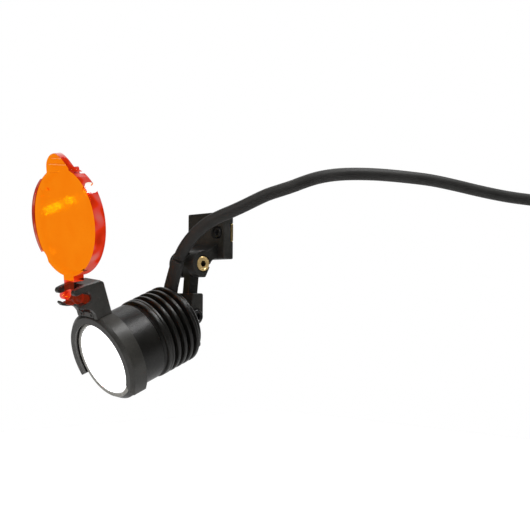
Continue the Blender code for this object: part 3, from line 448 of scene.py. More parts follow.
@dataclass(frozen=True)
class ClearOrange(Coating):
    """The filter's clear tinted plastic: orange through its faces and red through its walls."""

    frame: Matrix
    deep: Point = (0.85, 0.05, 0.00002)
    pale: Point = (0.88, 0.062, 0.00004)
    wall: Point = (0.48, 0.001, 0.00004)
    frosted: Point = (0.4, 0.014, 0.012)
    glow: Point = (0.08, 0.012, 0.004)
    facing: float = 0.0
    below: float = -13.4
    through: Point = (0.992, 0.77, 0.0)
    density: float = 160.0

    def paint(self, nodes: Nodes, shader: bpy.types.Node) -> None:
        """Set up the tint where light comes in, the frosted patches and the body's colour.

        Args:
            nodes: the material's nodes.
            shader: the material's shader.
        """
        mask = nodes.shared("fine_grain", {"Scale": 240.0}).outputs["Mask"]
        orange = nodes.ramp(mask, (0.36, self.deep), (0.66, self.pale))
        cloud = nodes.noise(230.0, 1.0)
        shade = tuple(part * 0.5 for part in self.wall)
        walls = nodes.ramp(cloud, (0.38, shade), (0.66, self.frosted), (0.5, self.wall))
        face, red, foot = self.zones(nodes)
        patches = nodes.span(cloud, (0.0, 0.7), (0.42, 0.62))
        coat = nodes.add("ShaderNodeMix", {0: red, 2: 0.08, 3: patches}, data_type="FLOAT")
        nodes.feed(shader, {
            "Base Color": nodes.mix(red, nodes.mix(face, WHITE, orange), walls),
            "Emission Color": nodes.mix(foot, BLACK, self.glow),
            "Emission Strength": 1.0,
            "Roughness": nodes.span(mask, (0.02, 0.07)),
            "Transmission Weight": 1.0,
            "IOR": 1.02,
            "Coat Weight": coat.outputs[0],
            "Coat Roughness": 0.055,
        })
        body = nodes.add("ShaderNodeVolumeAbsorption",
                         {"Color": (*self.through, 1.0), "Density": self.density})
        nodes.feed(nodes.tree.nodes["Material Output"], {"Volume": body.outputs["Volume"]})

    def zones(self, nodes: Nodes) -> tuple[Socket, Socket, Socket]:
        """Tell faces from walls, and the disc from the foot below it.

        Args:
            nodes: the material's nodes.

        Returns:
            Masks of what lets orange light in, of what lets red light in, and of the foot.
        """
        normal = nodes.place("Normal")
        offset = nodes.add("ShaderNodeVectorMath",
                           {0: nodes.place(), 1: self.frame.translation}, operation="SUBTRACT")
        offset = offset.outputs["Vector"]
        ahead = nodes.dot(normal, self.frame.col[1].to_3d())
        up = nodes.dot(offset, self.frame.col[2].to_3d())
        outward = nodes.maths("GREATER_THAN", nodes.dot(normal, offset), self.facing)
        flat = nodes.maths("GREATER_THAN", nodes.maths("ABSOLUTE", ahead, 0.0), 0.6)
        outer = nodes.maths("MULTIPLY", nodes.maths("SUBTRACT", 1.0, flat), outward)
        foot = nodes.maths("LESS_THAN", up, self.below * MM)
        leaving = nodes.add("ShaderNodeNewGeometry").outputs["Backfacing"]
        entering = nodes.maths("SUBTRACT", 1.0, leaving)
        red = nodes.maths("MAXIMUM", outer, foot)
        return (nodes.maths("MULTIPLY", flat, entering),
                nodes.maths("MULTIPLY", red, entering), foot)


LAMP_AXIS = (0.0, 0.92321, 0.384295)
ANODISED = Finish("black_anodised_aluminium", "black_anodised",
                  (0.007, 0.0066, 0.0058), (0.015, 0.0143, 0.0128), 0.3, grain=3600.0,
                  relief=0.00012, specular=0.3, dust=0.03, surface=Surface.TURNED, axis=LAMP_AXIS)
# Painted light: a much paler copy of the black anodised finish for the bezel's front face,
# brightening it against the shadow of the holder's lip.
BEZEL_PAINTED_LIGHT = Finish("bezel_painted_light", "black_anodised",
               (0.24, 0.235, 0.215), (0.32, 0.31, 0.285), 0.45, specular=0.3)
MOULDED = Finish("moulded_black", "black_plastic",
                 (0.017, 0.0165, 0.015), (0.040, 0.039, 0.035), 0.46, specular=0.26, dust=0.015)
HOLDER = Finish("holder_moulded_grey", "holder_plastic",
                (0.030, 0.029, 0.026), (0.050, 0.048, 0.043), 0.32,
                relief=0.00003, specular=0.4, dust=0.02)
RUBBER = Finish("cable_rubber", "black_rubber", (0.025, 0.0244, 0.0228), (0.037, 0.036, 0.034),
                0.55, grain=4200.0, specular=0.25, dust=0.01)
# The brass head's hex socket gets painted shade below X 4.85 mm.
BRASS = Finish("turned_brass", "brass", (0.6, 0.41, 0.16), (0.88, 0.66, 0.3), 0.38, 0.45,
               surface=Surface.TURNED, recess=4.85)
DULL_BRASS = Finish("dull_brass", "brass", (0.3, 0.21, 0.08), (0.62, 0.46, 0.2), 0.4, 0.9)
BLACK_STEEL = Finish("blackened_steel", "black_steel",
                     (0.016, 0.016, 0.016), (0.034, 0.034, 0.034), 0.32, 0.4)
STEEL = Finish("bright_steel", "bright_steel", (0.5, 0.5, 0.5), (0.7, 0.7, 0.69), 0.25, 1.0,
               surface=Surface.TURNED)
SILVER = Finish("metallised_cup", "reflector_silver", (0.8, 0.8, 0.82), (0.9, 0.9, 0.9), 0.1, 1.0)
PHOSPHOR = Finish("led_phosphor_yellow", "led_phosphor",
                  (0.8, 0.62, 0.12), (0.92, 0.75, 0.2), 0.4)
MASK_WHITE = Finish("board_mask", "board_white", (0.72, 0.72, 0.7), (0.82, 0.82, 0.8), 0.5)
PAD = Finish("pad_silicone", "pad_grey", (0.36, 0.38, 0.41), (0.46, 0.48, 0.51), 0.8)
WIRE_RED = Finish("wire_red", "lead_red", (0.42, 0.02, 0.015), (0.6, 0.04, 0.03), 0.5)
WIRE_BLACK = Finish("wire_black", "lead_black", (0.015, 0.015, 0.015), (0.03, 0.03, 0.03), 0.5)
STRAP = Finish("woven_strap", "tie_strap", (0.015, 0.015, 0.016), (0.04, 0.04, 0.042), 0.9,
               relief=0.00006)
LIT_LENS = LitLens("lit_lens", "lens_glass")


# ---------------------------------------------------------------- camera, lamps and stage

@dataclass
class Lamp:
    """A soft square lamp that looks at the object."""

    name: str
    place: Point
    size: float
    power: float
    colour: Point = WHITE
    target: Point = (0.0, 5.0, -10.0)

    def build(self) -> None:
        """Place the lamp."""
        data = bpy.data.lights.new(self.name, "AREA")
        data.size = self.size * MM
        data.energy = self.power
        data.color = self.colour
        lamp = bpy.data.objects.new(self.name, data)
        lamp.location = Vector(self.place) * MM
        aim = Vector(self.target) * MM - lamp.location
        lamp.rotation_euler = aim.to_track_quat("-Z", "Y").to_euler()
        bpy.context.scene.collection.objects.link(lamp)


AMBER = (1.0, 0.72, 0.0)
LAMPS = (
    Lamp("top_lamp", (180.0, 160.0, 435.0), 130.0, 1.8),
    Lamp("sky_lamp", (-225.0, 190.0, 405.0), 300.0, 0.6),
    Lamp("front_lamp", (120.0, -420.0, 260.0), 260.0, 0.8),
    Lamp("side_lamp", (300.0, -60.0, -380.0), 240.0, 0.8),
    Lamp("spot_lamp_1", (-219.2, -187.6, -21.1), 3.4, 0.0026, AMBER),
    Lamp("spot_lamp_2", (-213.8, -189.6, -20.1), 3.4, 0.0026, AMBER),
    Lamp("spot_lamp_3", (-207.0, -192.2, -18.9), 3.4, 0.0026, AMBER),
)


@dataclass
class Studio:
    """The camera, the soft lamps and the pale floor."""

    azimuth: float = 48.889
    elevation: float = -2.0695
    roll: float = 0.3116
    distance: float = 290.0
    target: Point = (0.0, 17.222, -6.81)
    lens: float = 73.04
    sensor: float = 36.0
    floor_height: float = -70.0
    floor_size: float = 0.36
    floor_tone: float = 0.85
    floor_shine: float = 0.7
    fill: float = 0.3
    room: float = 0.03
    behind: Point = (-0.57, 0.78, -0.26)
    fade: tuple[float, float] = (0.3, 0.95)

    def camera(self) -> None:
        """Place the camera."""
        a, e, r = (math.radians(v) for v in (self.azimuth, self.elevation, self.roll))
        back = Vector((math.sin(a) * math.cos(e), -math.cos(a) * math.cos(e), math.sin(e)))
        right = Vector((math.cos(a), math.sin(a), 0.0))
        up = back.cross(right)
        across = math.cos(r) * right + math.sin(r) * up
        above = math.cos(r) * up - math.sin(r) * right
        data = bpy.data.cameras.new("camera")
        data.lens = self.lens
        data.sensor_width = self.sensor
        data.clip_start = 0.01
        seat = Matrix((across, above, back)).transposed().to_4x4()
        seat.translation = (Vector(self.target) + back * self.distance) * MM
        camera = bpy.data.objects.new("camera", data)
        camera.matrix_world = seat
        bpy.context.scene.collection.objects.link(camera)
        bpy.context.scene.camera = camera

    @staticmethod
    def seen_straight(nodes: Nodes) -> tuple[Socket, Socket]:
        """Tell the rays that reach a surface apart.

        Args:
            nodes: the material's or the world's nodes.

        Returns:
            Masks of rays from the camera or through something clear, and of mirrored rays.
        """
        path = nodes.add("ShaderNodeLightPath").outputs
        seen = nodes.maths("MAXIMUM", path["Is Camera Ray"], path["Is Transmission Ray"])
        return seen, path["Is Glossy Ray"]

    def world(self) -> None:
        """Surroundings that are white behind the object and dim on the camera's side."""
        world = bpy.data.worlds.new("studio")
        bpy.context.scene.world = world
        world.use_nodes = True
        world.node_tree.nodes.clear()
        nodes = Nodes(world.node_tree)
        away = nodes.dot(nodes.place("Generated"), self.behind)
        fade = nodes.span(away, (self.room, 1.0), self.fade, interpolation_type="SMOOTHSTEP")
        clear = (*WHITE, 1.0)
        soft, gloss, white = (
            nodes.add("ShaderNodeBackground", {"Color": clear, "Strength": power}).outputs[0]
            for power in (self.fill, fade, 1.0))
        seen, shiny = self.seen_straight(nodes)
        shine = nodes.add("ShaderNodeMixShader", {0: shiny, 1: soft, 2: gloss}).outputs[0]
        mixed = nodes.add("ShaderNodeMixShader", {0: seen, 1: shine, 2: white}).outputs[0]
        nodes.add("ShaderNodeOutputWorld", {"Surface": mixed})

    def floor(self) -> None:
        """A pale floor far below the lamp, which keeps a faint shadow."""
        bpy.ops.mesh.primitive_grid_add(x_subdivisions=4, y_subdivisions=4, size=self.floor_size,
                                        location=(0.0, 0.0, self.floor_height * MM))
        floor = bpy.context.object
        floor.name = "floor"
        material = bpy.data.materials.new("floor_white")
        material.use_nodes = True
        material.node_tree.nodes.clear()
        nodes = Nodes(material.node_tree)
        seen, shiny = self.seen_straight(nodes)
        tone = (self.floor_tone, self.floor_tone, self.floor_tone, 1.0)
        diffuse = nodes.add("ShaderNodeBsdfDiffuse", {"Color": tone}).outputs[0]
        strength = nodes.maths("MULTIPLY", seen, self.floor_tone)
        glow = nodes.add("ShaderNodeEmission", {"Strength": strength}).outputs[0]
        dim = nodes.add("ShaderNodeEmission", {"Strength": self.floor_shine}).outputs[0]
        both = nodes.add("ShaderNodeAddShader", {0: diffuse, 1: glow}).outputs[0]
        mixed = nodes.add("ShaderNodeMixShader", {0: shiny, 1: both, 2: dim}).outputs[0]
        nodes.add("ShaderNodeOutputMaterial", {"Surface": mixed})
        floor.data.materials.append(material)

    def build(self) -> None:
        """Set up everything round the object."""
        bpy.context.scene.view_settings.view_transform = "Standard"
        self.camera()
        self.world()
        self.floor()
        for lamp in LAMPS:
            lamp.build()
        log.info("studio ready")


# ---------------------------------------------------------------- modelling

def arc(centre: tuple[float, float], radius: float, start: float, end: float, steps: int) -> Flat:
    """Points on an arc, both ends among them.

    Args:
        centre: its centre.
        radius: its radius.
        start: first angle in degrees.
        end: last angle in degrees.
        steps: parts that it is divided into.

    Returns:
        The points.
    """
    turns = (math.radians(start + (end - start) * i / steps) for i in range(steps + 1))
    return [(centre[0] + radius * math.cos(turn), centre[1] + radius * math.sin(turn))
            for turn in turns]


def hexagon(flats: float) -> Flat:
    """Corners of a hexagon of this width across its flats."""
    return arc((0.0, 0.0), flats / 2 / math.cos(math.radians(30.0)), 0.0, 300.0, 5)


def pick(*pieces: Piece) -> None:
    """Select pieces and nothing else.

    Args:
        pieces: the pieces, the one that becomes active last.
    """
    bpy.ops.object.select_all(action="DESELECT")
    for piece in pieces:
        piece.select_set(True)
    bpy.context.view_layer.objects.active = pieces[-1]


def put(piece: Piece, frame: Matrix) -> Piece:
    """Move a selected piece's mesh to a frame.

    Args:
        piece: the piece, selected alone.
        frame: where it goes.

    Returns:
        The same piece, with its place in its mesh.
    """
    piece.matrix_world = frame
    bpy.ops.object.transform_apply(location=True, rotation=True, scale=True)
    return piece


def chain(name: str, points: list[Point], closed: bool = True) -> Piece:
    """Draw a line by extruding one vertex from point to point, and stay in edit mode.

    Args:
        name: the piece's name.
        points: the line's corners.
        closed: whether it returns to its start.

    Returns:
        The new piece, all of it selected.
    """
    bpy.ops.mesh.primitive_plane_add(size=MM)
    piece = bpy.context.object
    piece.name = name
    bpy.ops.object.mode_set(mode="EDIT")
    bpy.ops.mesh.select_all(action="SELECT")
    bpy.ops.mesh.merge(type="CENTER")
    last = Vector(points[0]) * MM
    bpy.ops.transform.translate(value=last)
    for point in [*points[1:], points[0]] if closed else points[1:]:
        here = Vector(point) * MM
        bpy.ops.mesh.extrude_region_move(TRANSFORM_OT_translate={"value": here - last})
        last = here
    bpy.ops.mesh.select_all(action="SELECT")
    bpy.ops.mesh.remove_doubles(threshold=WELD)
    return piece


def seat(piece: Piece, frame: Matrix) -> Piece:
    """Weld a shape, turn its faces outwards and put it in its frame.

    Args:
        piece: the shape, in edit mode.
        frame: where it goes.

    Returns:
        The piece, in object mode, with its place in its mesh.
    """
    bpy.ops.mesh.select_all(action="SELECT")
    bpy.ops.mesh.remove_doubles(threshold=WELD)
    bpy.ops.mesh.normals_make_consistent(inside=False)
    bpy.ops.object.mode_set(mode="OBJECT")
    return put(piece, frame)


def lathe(name: str, profile: Flat, frame: Matrix, steps: int = 120, sweep: float = 360.0) -> Piece:
    """Spin a profile of (radius, along) points about the frame's Y axis.

    Args:
        name: the piece's name.
        profile: its outline; one that starts and ends on the axis is left open there.
        frame: where it goes.
        steps: facets round it.
        sweep: degrees that it covers, from +X towards +Z.

    Returns:
        The new piece.
    """
    closed = profile[0][0] > 0.0 or profile[-1][0] > 0.0
    piece = chain(name, [(radius, along, 0.0) for radius, along in profile], closed)
    if sweep < 360.0:
        bpy.ops.mesh.edge_face_add()
    bpy.ops.mesh.spin(steps=steps, angle=math.radians(sweep), center=(0.0, 0.0, 0.0),
                      axis=(0.0, 1.0, 0.0))
    return seat(piece, frame)


def drawn(name: str, corners: list[Point], move: Point, frame: Matrix) -> Piece:
    """Extrude a flat outline.

    Args:
        name: the piece's name.
        corners: the outline's corners.
        move: how far it is extruded, in metres.
        frame: where it goes.

    Returns:
        The new piece.
    """
    piece = chain(name, corners)
    bpy.ops.mesh.edge_face_add()
    bpy.ops.mesh.extrude_region_move(TRANSFORM_OT_translate={"value": move})
    return seat(piece, frame)


def wedge(name: str, outline: Flat, low: float, high: float, frame: Matrix) -> Piece:
    """A piece of this side outline, as (y, z), from low to high along X."""
    return drawn(name, [(low, y, z) for y, z in outline], ((high - low) * MM, 0.0, 0.0), frame)


def pressed(name: str, outline: Flat, low: float, high: float, frame: Matrix) -> Piece:
    """A piece of this front outline, as (x, z), from low to high along Y."""
    return drawn(name, [(x, low, z) for x, z in outline], (0.0, (high - low) * MM, 0.0), frame)


def block(name: str, low: Point, high: Point, frame: Matrix) -> Piece:
    """A box between two corners.

    Args:
        name: the piece's name.
        low: its lowest corner.
        high: its highest corner.
        frame: where it goes.

    Returns:
        The new piece.
    """
    middle = (Vector(low) + Vector(high)) / 2 * MM
    bpy.ops.mesh.primitive_cube_add(size=MM, location=middle, scale=Vector(high) - Vector(low))
    piece = bpy.context.object
    piece.name = name
    bpy.ops.object.transform_apply(location=True, rotation=True, scale=True)
    return put(piece, frame)


def rod(name: str, radius: float, low: float, high: float, frame: Matrix, sides: int = 48) -> Piece:
    """A round bar along the frame's Y axis.

    Args:
        name: the piece's name.
        radius: its radius.
        low: where it starts.
        high: where it ends.
        frame: where it goes.
        sides: facets round it.

    Returns:
        The new piece.
    """
    bpy.ops.mesh.primitive_cylinder_add(vertices=sides, radius=radius * MM,
                                        depth=(high - low) * MM,
                                        location=(0.0, (high + low) / 2 * MM, 0.0),
                                        rotation=(math.pi / 2, 0.0, 0.0))
    piece = bpy.context.object
    piece.name = name
    bpy.ops.object.transform_apply(location=True, rotation=True, scale=True)
    return put(piece, frame)


def apply(piece: Piece, modifier: bpy.types.Modifier) -> None:
    """Apply one modifier of a piece."""
    pick(piece)
    bpy.ops.object.modifier_apply(modifier=modifier.name)


def rounded(piece: Piece, width: float, segments: int = 3, angle: float = 40.0) -> Piece:
    """Round a piece's sharp edges.

    Args:
        piece: the piece.
        width: how far the rounding reaches.
        segments: facets across it.
        angle: edges sharper than this many degrees are rounded.

    Returns:
        The same piece.
    """
    bevel = piece.modifiers.new("edge_rounding", "BEVEL")
    bevel.width = width * MM
    bevel.segments = segments
    bevel.limit_method = "ANGLE"
    bevel.angle_limit = math.radians(angle)
    apply(piece, bevel)
    return piece


def combine(piece: Piece, operation: str, tools: tuple[Piece, ...]) -> None:
    """Cut tools out of a piece or add them to it, and throw the tools away.

    Args:
        piece: the piece that changes.
        operation: Blender's name of the operation.
        tools: the other shapes.
    """
    for tool in tools:
        step = piece.modifiers.new(tool.name, "BOOLEAN")
        step.operation = operation
        step.solver = "EXACT"
        step.object = tool
        apply(piece, step)
        bpy.data.objects.remove(tool)


def cut(piece: Piece, *tools: Piece) -> None:
    """Cut the tools out of a piece."""
    combine(piece, "DIFFERENCE", tools)


def fuse(piece: Piece, *tools: Piece) -> None:
    """Add the tools to a piece."""
    combine(piece, "UNION", tools)


def gather(piece: Piece, *others: Piece) -> None:
    """Take other shapes into a piece's mesh as they are."""
    pick(*others, piece)
    bpy.ops.object.join()


@dataclass
class CapScrew:
    """A screw with a hexagon socket, its head from the frame's origin towards +Y."""

    head: float
    height: float
    shank: float
    length: float
    dish: float
    socket: float = 1.5
    pitch: float = 0.4
    groove: float = 0.12

    def build(self, name: str, frame: Matrix) -> Piece:
        """Make the screw.

        Args:
            name: the piece's name.
            frame: where it goes.

        Returns:
            The new piece.
        """
        core = self.shank - self.groove
        thread = []
        for index in range(max(1, int((self.length - 0.9) / self.pitch))):
            base = -self.length + 0.25 + index * self.pitch
            thread += [(self.shank, base + 0.1), (self.shank, base + 0.16),
                       (core, base + 0.28), (core, base + 0.32)]
        face = self.height - self.dish
        profile = [(0.0, -self.length), (self.shank - 0.25, -self.length),
                   (core, 0.2 - self.length), *thread, (self.shank, -0.45),
                   (self.shank, 0.0), (self.head, 0.0),
                   (self.head, self.height - 0.22), (self.head - 0.22, self.height),
                   (self.head - 0.5, self.height), (self.head - 0.66, face), (0.0, face)]
        screw = lathe(name, profile, frame, 64)
        depth = min(1.4, 0.86 * self.height)
        cut(screw, pressed(name + "_socket", hexagon(self.socket), self.height - depth,
                           self.height + 1.0, frame))
        return rounded(screw, 0.04, 2)


def nut(name: str, flats: float, height: float, bore: float, frame: Matrix) -> Piece:
    """A hexagon nut with turned-off corners, from the frame's origin towards +Y.

    Args:
        name: the piece's name.
        flats: width across its flats.
        height: its height.
        bore: radius of its hole.
        frame: where it goes.

    Returns:
        The new piece.
    """
    piece = pressed(name, hexagon(flats), 0.0, height, frame)
    corner = flats / 2 / math.cos(math.radians(30.0))
    collar = [(flats / 2 - 0.05, height + 0.3), (flats / 2 - 0.05, height),
              (corner + 0.3, height - 0.42), (corner + 0.3, height + 0.3)]
    hole = [(0.0, -1.0), (bore, -1.0), (bore, height - 0.2), (bore + 0.4, height + 0.2),
            (0.0, height + 0.2)]
    cut(piece, lathe("corner_collar", collar, frame, 48), lathe("bore", hole, frame, 32))
    return rounded(piece, *FINE_EDGE)


# ---------------------------------------------------------------- sub-assemblies

@dataclass
class SubAssembly:
    """Pieces that are built together, with the frames that they are placed by."""

    frames: Frames

    LEVEL_AREA = 100 * MM * MM

    def done(self, piece: Piece, finish: Coating, body: str, *replaced: str,
             angle: float = 32.0) -> Piece:
        """Shade and dress a finished piece, attach it to its body and hide the solids that it
        stands for.

        Args:
            piece: the piece.
            finish: its finish.
            body: the body that it moves with.
            replaced: the solids that it stands for.
            angle: edges sharper than this stay sharp.

        Returns:
            The same piece.
        """
        pick(piece)
        bpy.ops.object.shade_smooth_by_angle(angle=math.radians(angle))
        for face in piece.data.polygons:
            if face.area > self.LEVEL_AREA:
                face.use_smooth = False
        flats = piece.modifiers.new("level_flats", "WEIGHTED_NORMAL")
        flats.keep_sharp = True
        flats.weight = 90
        apply(piece, flats)
        piece.data.materials.clear()
        piece.data.materials.append(finish.material())
        piece.data.name = piece.name
        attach(piece, body)
        if replaced:
            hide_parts(*replaced)
        log.info("%s: %d faces", piece.name, len(piece.data.polygons))
        return piece

    def copy(self, piece: Piece, name: str, move: Matrix) -> Piece:
        """A finished shape's copy, with its own mesh.

        Args:
            piece: the shape, before it is handed over.
            name: the copy's name.
            move: from the first one's place to the copy's.

        Returns:
            The copy.
        """
        pick(piece)
        bpy.ops.object.duplicate()
        twin = bpy.context.object
        twin.name = name
        return put(twin, move)


# ---------------------------------------------------------------- fits shared by the sub-assemblies

PIVOT_BORE = 1.25
TONGUE_HALF = 1.42
CLEARANCE = 0.25
PAST = 1.0
COIL_CENTRE = (51.0, 102.4, -10.6)
OUTLET_TOP = -14.3
ROUTE: tuple[Point, ...] = (
    (-1.3, -14.1, -17.2), (-1.0, -13.5, -14.7), (-0.7, -13.4, -13.0), (-0.3, -13.3, -11.7),
    (0.3, -13.2, -9.9), (1.6, -13.1, -6.8), (2.9, -12.8, -4.5), (4.3, -12.3, -2.4),
    (7.3, -10.9, 0.9), (10.3, -8.9, 3.4), (13.3, -6.6, 5.0), (16.4, -3.7, 6.9),
    (20.1, 0.2, 9.5), (23.2, 4.5, 11.3), (25.5, 7.9, 12.9), (27.5, 11.5, 14.2),
    (29.7, 15.9, 15.0), (31.6, 20.0, 15.3), (33.5, 24.6, 15.4), (35.2, 29.0, 15.3),
    (36.8, 33.7, 15.1), (38.8, 40.2, 14.7), (40.8, 47.1, 13.8), (42.4, 53.3, 12.9),
    (43.8, 58.7, 12.2), (45.3, 64.6, 11.6), (47.0, 71.2, 11.2), (49.2, 78.0, 10.8),
    (51.2, 84.0, 10.5), (52.5, 90.0, 10.4),
)


def outlet_line() -> tuple[Vector, Vector, float]:
    """The cable's outlet, which follows the cable's first step.

    Returns:
        Its start in millimetres, its direction and its length.
    """
    base = Vector(ROUTE[0])
    rise = (Vector(ROUTE[1]) - base).normalized()
    return base, rise, (OUTLET_TOP - base.z) / rise.z


# ---------------------------------------------------------------- cable

def run_length(points: list[Vector]) -> float:
    """Length of a line through points."""
    return sum((two - one).length for one, two in zip(points, points[1:]))


def smooth_route(points: list[Vector], spacing: float, parts: int = 24) -> list[Vector]:
    """Evenly read a smooth curve through the given points.

    Args:
        points: the points that the curve passes.
        spacing: distance between the points read from it.
        parts: steps that each stretch of the curve is worked out in.

    Returns:
        Points along the curve, its two ends among them.
    """
    knots = [2 * points[0] - points[1], *points, 2 * points[-1] - points[-2]]
    dense = []
    for a, b, c, d in zip(knots, knots[1:], knots[2:], knots[3:]):
        for t in (i / parts for i in range(parts)):
            dense.append(0.5 * (2 * b + (c - a) * t + (2 * a - 5 * b + 4 * c - d) * t ** 2
                                + (3 * b - a - 3 * c + d) * t ** 3))
    dense.append(knots[-2])
    reach = [0.0]
    for one, two in zip(dense, dense[1:]):
        reach.append(reach[-1] + (two - one).length)
    count = max(2, round(reach[-1] / spacing))
    evenly = [dense[0]]
    after = 1
    for i in range(1, count + 1):
        goal = reach[-1] * i / count
        while after < len(reach) - 1 and reach[after] < goal:
            after += 1
        share = (goal - reach[after - 1]) / (reach[after] - reach[after - 1])
        evenly.append(dense[after - 1].lerp(dense[after], min(1.0, share)))
    return evenly


def route_between(points: list[Vector], start: float, stop: float) -> list[Vector]:
    """The part of a route between two distances along it.

    Args:
        points: the route's points.
        start: distance along it where the part begins.
        stop: distance along it where the part ends.

    Returns:
        The part's points, with both ends exact.
    """
    kept = []
    reach = 0.0
    for one, two in zip(points, points[1:]):
        length = (two - one).length
        if reach < start <= reach + length:
            kept.append(one.lerp(two, (start - reach) / length))
        if start < reach + length < stop:
            kept.append(two)
        if reach < stop <= reach + length:
            kept.append(one.lerp(two, (stop - reach) / length))
        reach += length
    return kept


def sweep(name: str, points: list[Vector], radii: list[float], sides: int) -> Piece:
    """A closed round tube along points in millimetres.

    Args:
        name: the piece's name.
        points: the centre line.
        radii: a radius at each point.
        sides: facets round it.

    Returns:
        The new piece, with a UV map that runs along and round it.
    """
    work = bmesh.new()
    uv = work.loops.layers.uv.new("UVMap")
    tangents = [(points[min(i + 1, len(points) - 1)] - points[max(i - 1, 0)]).normalized()
                for i in range(len(points))]
    side = tangents[0].orthogonal().normalized()
    angles = [2 * math.pi * i / sides for i in range(sides)]
    rings = []
    for point, tangent, radius in zip(points, tangents, radii):
        side = (side - tangent * side.dot(tangent)).normalized()
        other = tangent.cross(side)
        rings.append([work.verts.new((point + radius * (math.cos(angle) * side
                                                        + math.sin(angle) * other)) * MM)
                      for angle in angles])
    reach = 0.0
    for index, (low, high) in enumerate(zip(rings, rings[1:])):
        step = (points[index + 1] - points[index]).length
        for i in range(sides):
            j = (i + 1) % sides
            face = work.faces.new((low[i], low[j], high[j], high[i]))
            corners = ((i, reach), (i + 1, reach), (i + 1, reach + step), (i, reach + step))
            for loop, (around, along) in zip(face.loops, corners):
                loop[uv].uv = (around / sides, along * MM)
            face.smooth = True
        reach += step
    work.faces.new(list(reversed(rings[0])))
    work.faces.new(rings[-1])
    mesh = bpy.data.meshes.new(name)
    work.to_mesh(mesh)
    work.free()
    piece = bpy.data.objects.new(name, mesh)
    bpy.context.scene.collection.objects.link(piece)
    return piece


def rubber_tube(name: str, points: list[Vector], radii: list[float], sides: int,
                *replaced: str) -> Piece:
    """A tube in the cable's rubber that stands for solids of the record.

    Args:
        name: the piece's name.
        points: the centre line.
        radii: a radius at each point.
        sides: facets round it.
        replaced: the solids that it stands for.

    Returns:
        The new piece.
    """
    piece = sweep(name, points, radii, sides)
    piece.data.materials.append(RUBBER.material())
    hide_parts(*replaced)
    return piece


@dataclass
class Cable:
    """The cable from the head, its strain relief, the coil that stores it and its tail."""

    radius: float = 1.58
    sides: int = 14
    run_step: float = 0.9
    coil_step: float = 1.6
    final_step: float = 1.5
    settled: int = 12
    relief_base: float = 1.9
    relief_wall: float = 0.06
    relief_length: float = 8.3
    relief_sunk: float = 2.2
    relief_sides: int = 20
    coil_layers: tuple[float, ...] = (14.5, 17.7, 20.95)
    coil_pitch: float = 3.2
    coil_parts: int = 36
    coil_entry: Point = (52.6, 96.0, 10.37)
    ease_from: float = 0.72
    ease_over: float = 0.28
    tail_start: float = 12.6
    tail_length: float = 8.0
    slots: tuple[tuple[int, float], ...] = (
        (2, 0.5), (2, 1.5), (1, 1.5), (0, 1.5), (0, 0.5), (1, 0.5),
        (1, -0.5), (0, -0.5), (0, -1.5), (1, -1.5), (2, -1.5), (2, -0.5),
    )

    def turns(self) -> list[Vector]:
        """The coil's turns, layer by layer, from its top at the back of the free run.

        Returns:
            Points along the turns, which end at the coil's rear side.
        """
        centre = Vector(COIL_CENTRE)
        found = []
        for index, (layer, column) in enumerate(self.slots):
            last = index == len(self.slots) - 1
            after = self.slots[index if last else index + 1]
            for step in range(self.coil_parts // 4 if last else self.coil_parts):
                share = step / self.coil_parts
                ease = max(0.0, (share - self.ease_from) / self.ease_over)
                ease = ease * ease * (3 - 2 * ease)
                radius = self.coil_layers[layer] * (1 - ease) + self.coil_layers[after[0]] * ease
                along = (column * (1 - ease) + after[1] * ease) * self.coil_pitch
                angle = math.pi / 2 - 2 * math.pi * share
                found.append(centre + Vector((along, radius * math.cos(angle),
                                              radius * math.sin(angle))))
        return found

    def tail(self) -> list[Vector]:
        """The straight drop from the coil's rear side to the plug.

        Returns:
            Points down it, its two ends among them.
        """
        x, y, z = COIL_CENTRE
        out = Vector((x - self.coil_pitch / 2, y + self.coil_layers[-1], z))
        drops = (0.0, 4.0, 8.0, 12.0, 16.0, self.tail_start + self.tail_length)
        return smooth_route([out - Vector((0.0, 0.0, drop)) for drop in drops], self.coil_step)

    def build(self, ends: list[Piece]) -> None:
        """Args:
            ends: the plug's pieces and the strap; not used.
        """
        run = smooth_route([Vector(point) for point in ROUTE], self.run_step)
        rim = outlet_line()[2]
        tip = rim + self.relief_length
        relief = self.strain_relief(route_between(run, rim - self.relief_sunk, tip))
        free = route_between(run, tip + 0.1, run_length(run))[::3]
        coil = smooth_route([*free, Vector(self.coil_entry), *self.turns()], self.coil_step)
        line = [*coil, *self.tail()]
        line = smooth_route([*line[::2], line[-1]], self.final_step)
        cord = rubber_tube("power_cable", line, [self.radius] * len(line), self.sides,
                           "cord_lead", "cord_coil", "cord_tail")
        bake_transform(cord)

    def strain_relief(self, line: list[Vector]) -> Piece:
        """The tapered sleeve that the cable leaves the head through.

        Args:
            line: its centre line.

        Returns:
            The new piece.
        """
        thin = self.radius + self.relief_wall
        last = len(line) - 1
        radii = [self.relief_base + (thin - self.relief_base) * i / last for i in range(last + 1)]
        relief = rubber_tube("cable_sleeve", line, radii, self.relief_sides, "strain_relief")
        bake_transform(relief)
        return relief


# ---------------------------------------------------------------- bracket

@dataclass
class Pivot:
    """One pivot's fixings along its X axis, and the body that they move with."""

    label: str
    body: str
    head: float
    height: float
    head_seat: float
    nut_seat: float
    metal: Finish


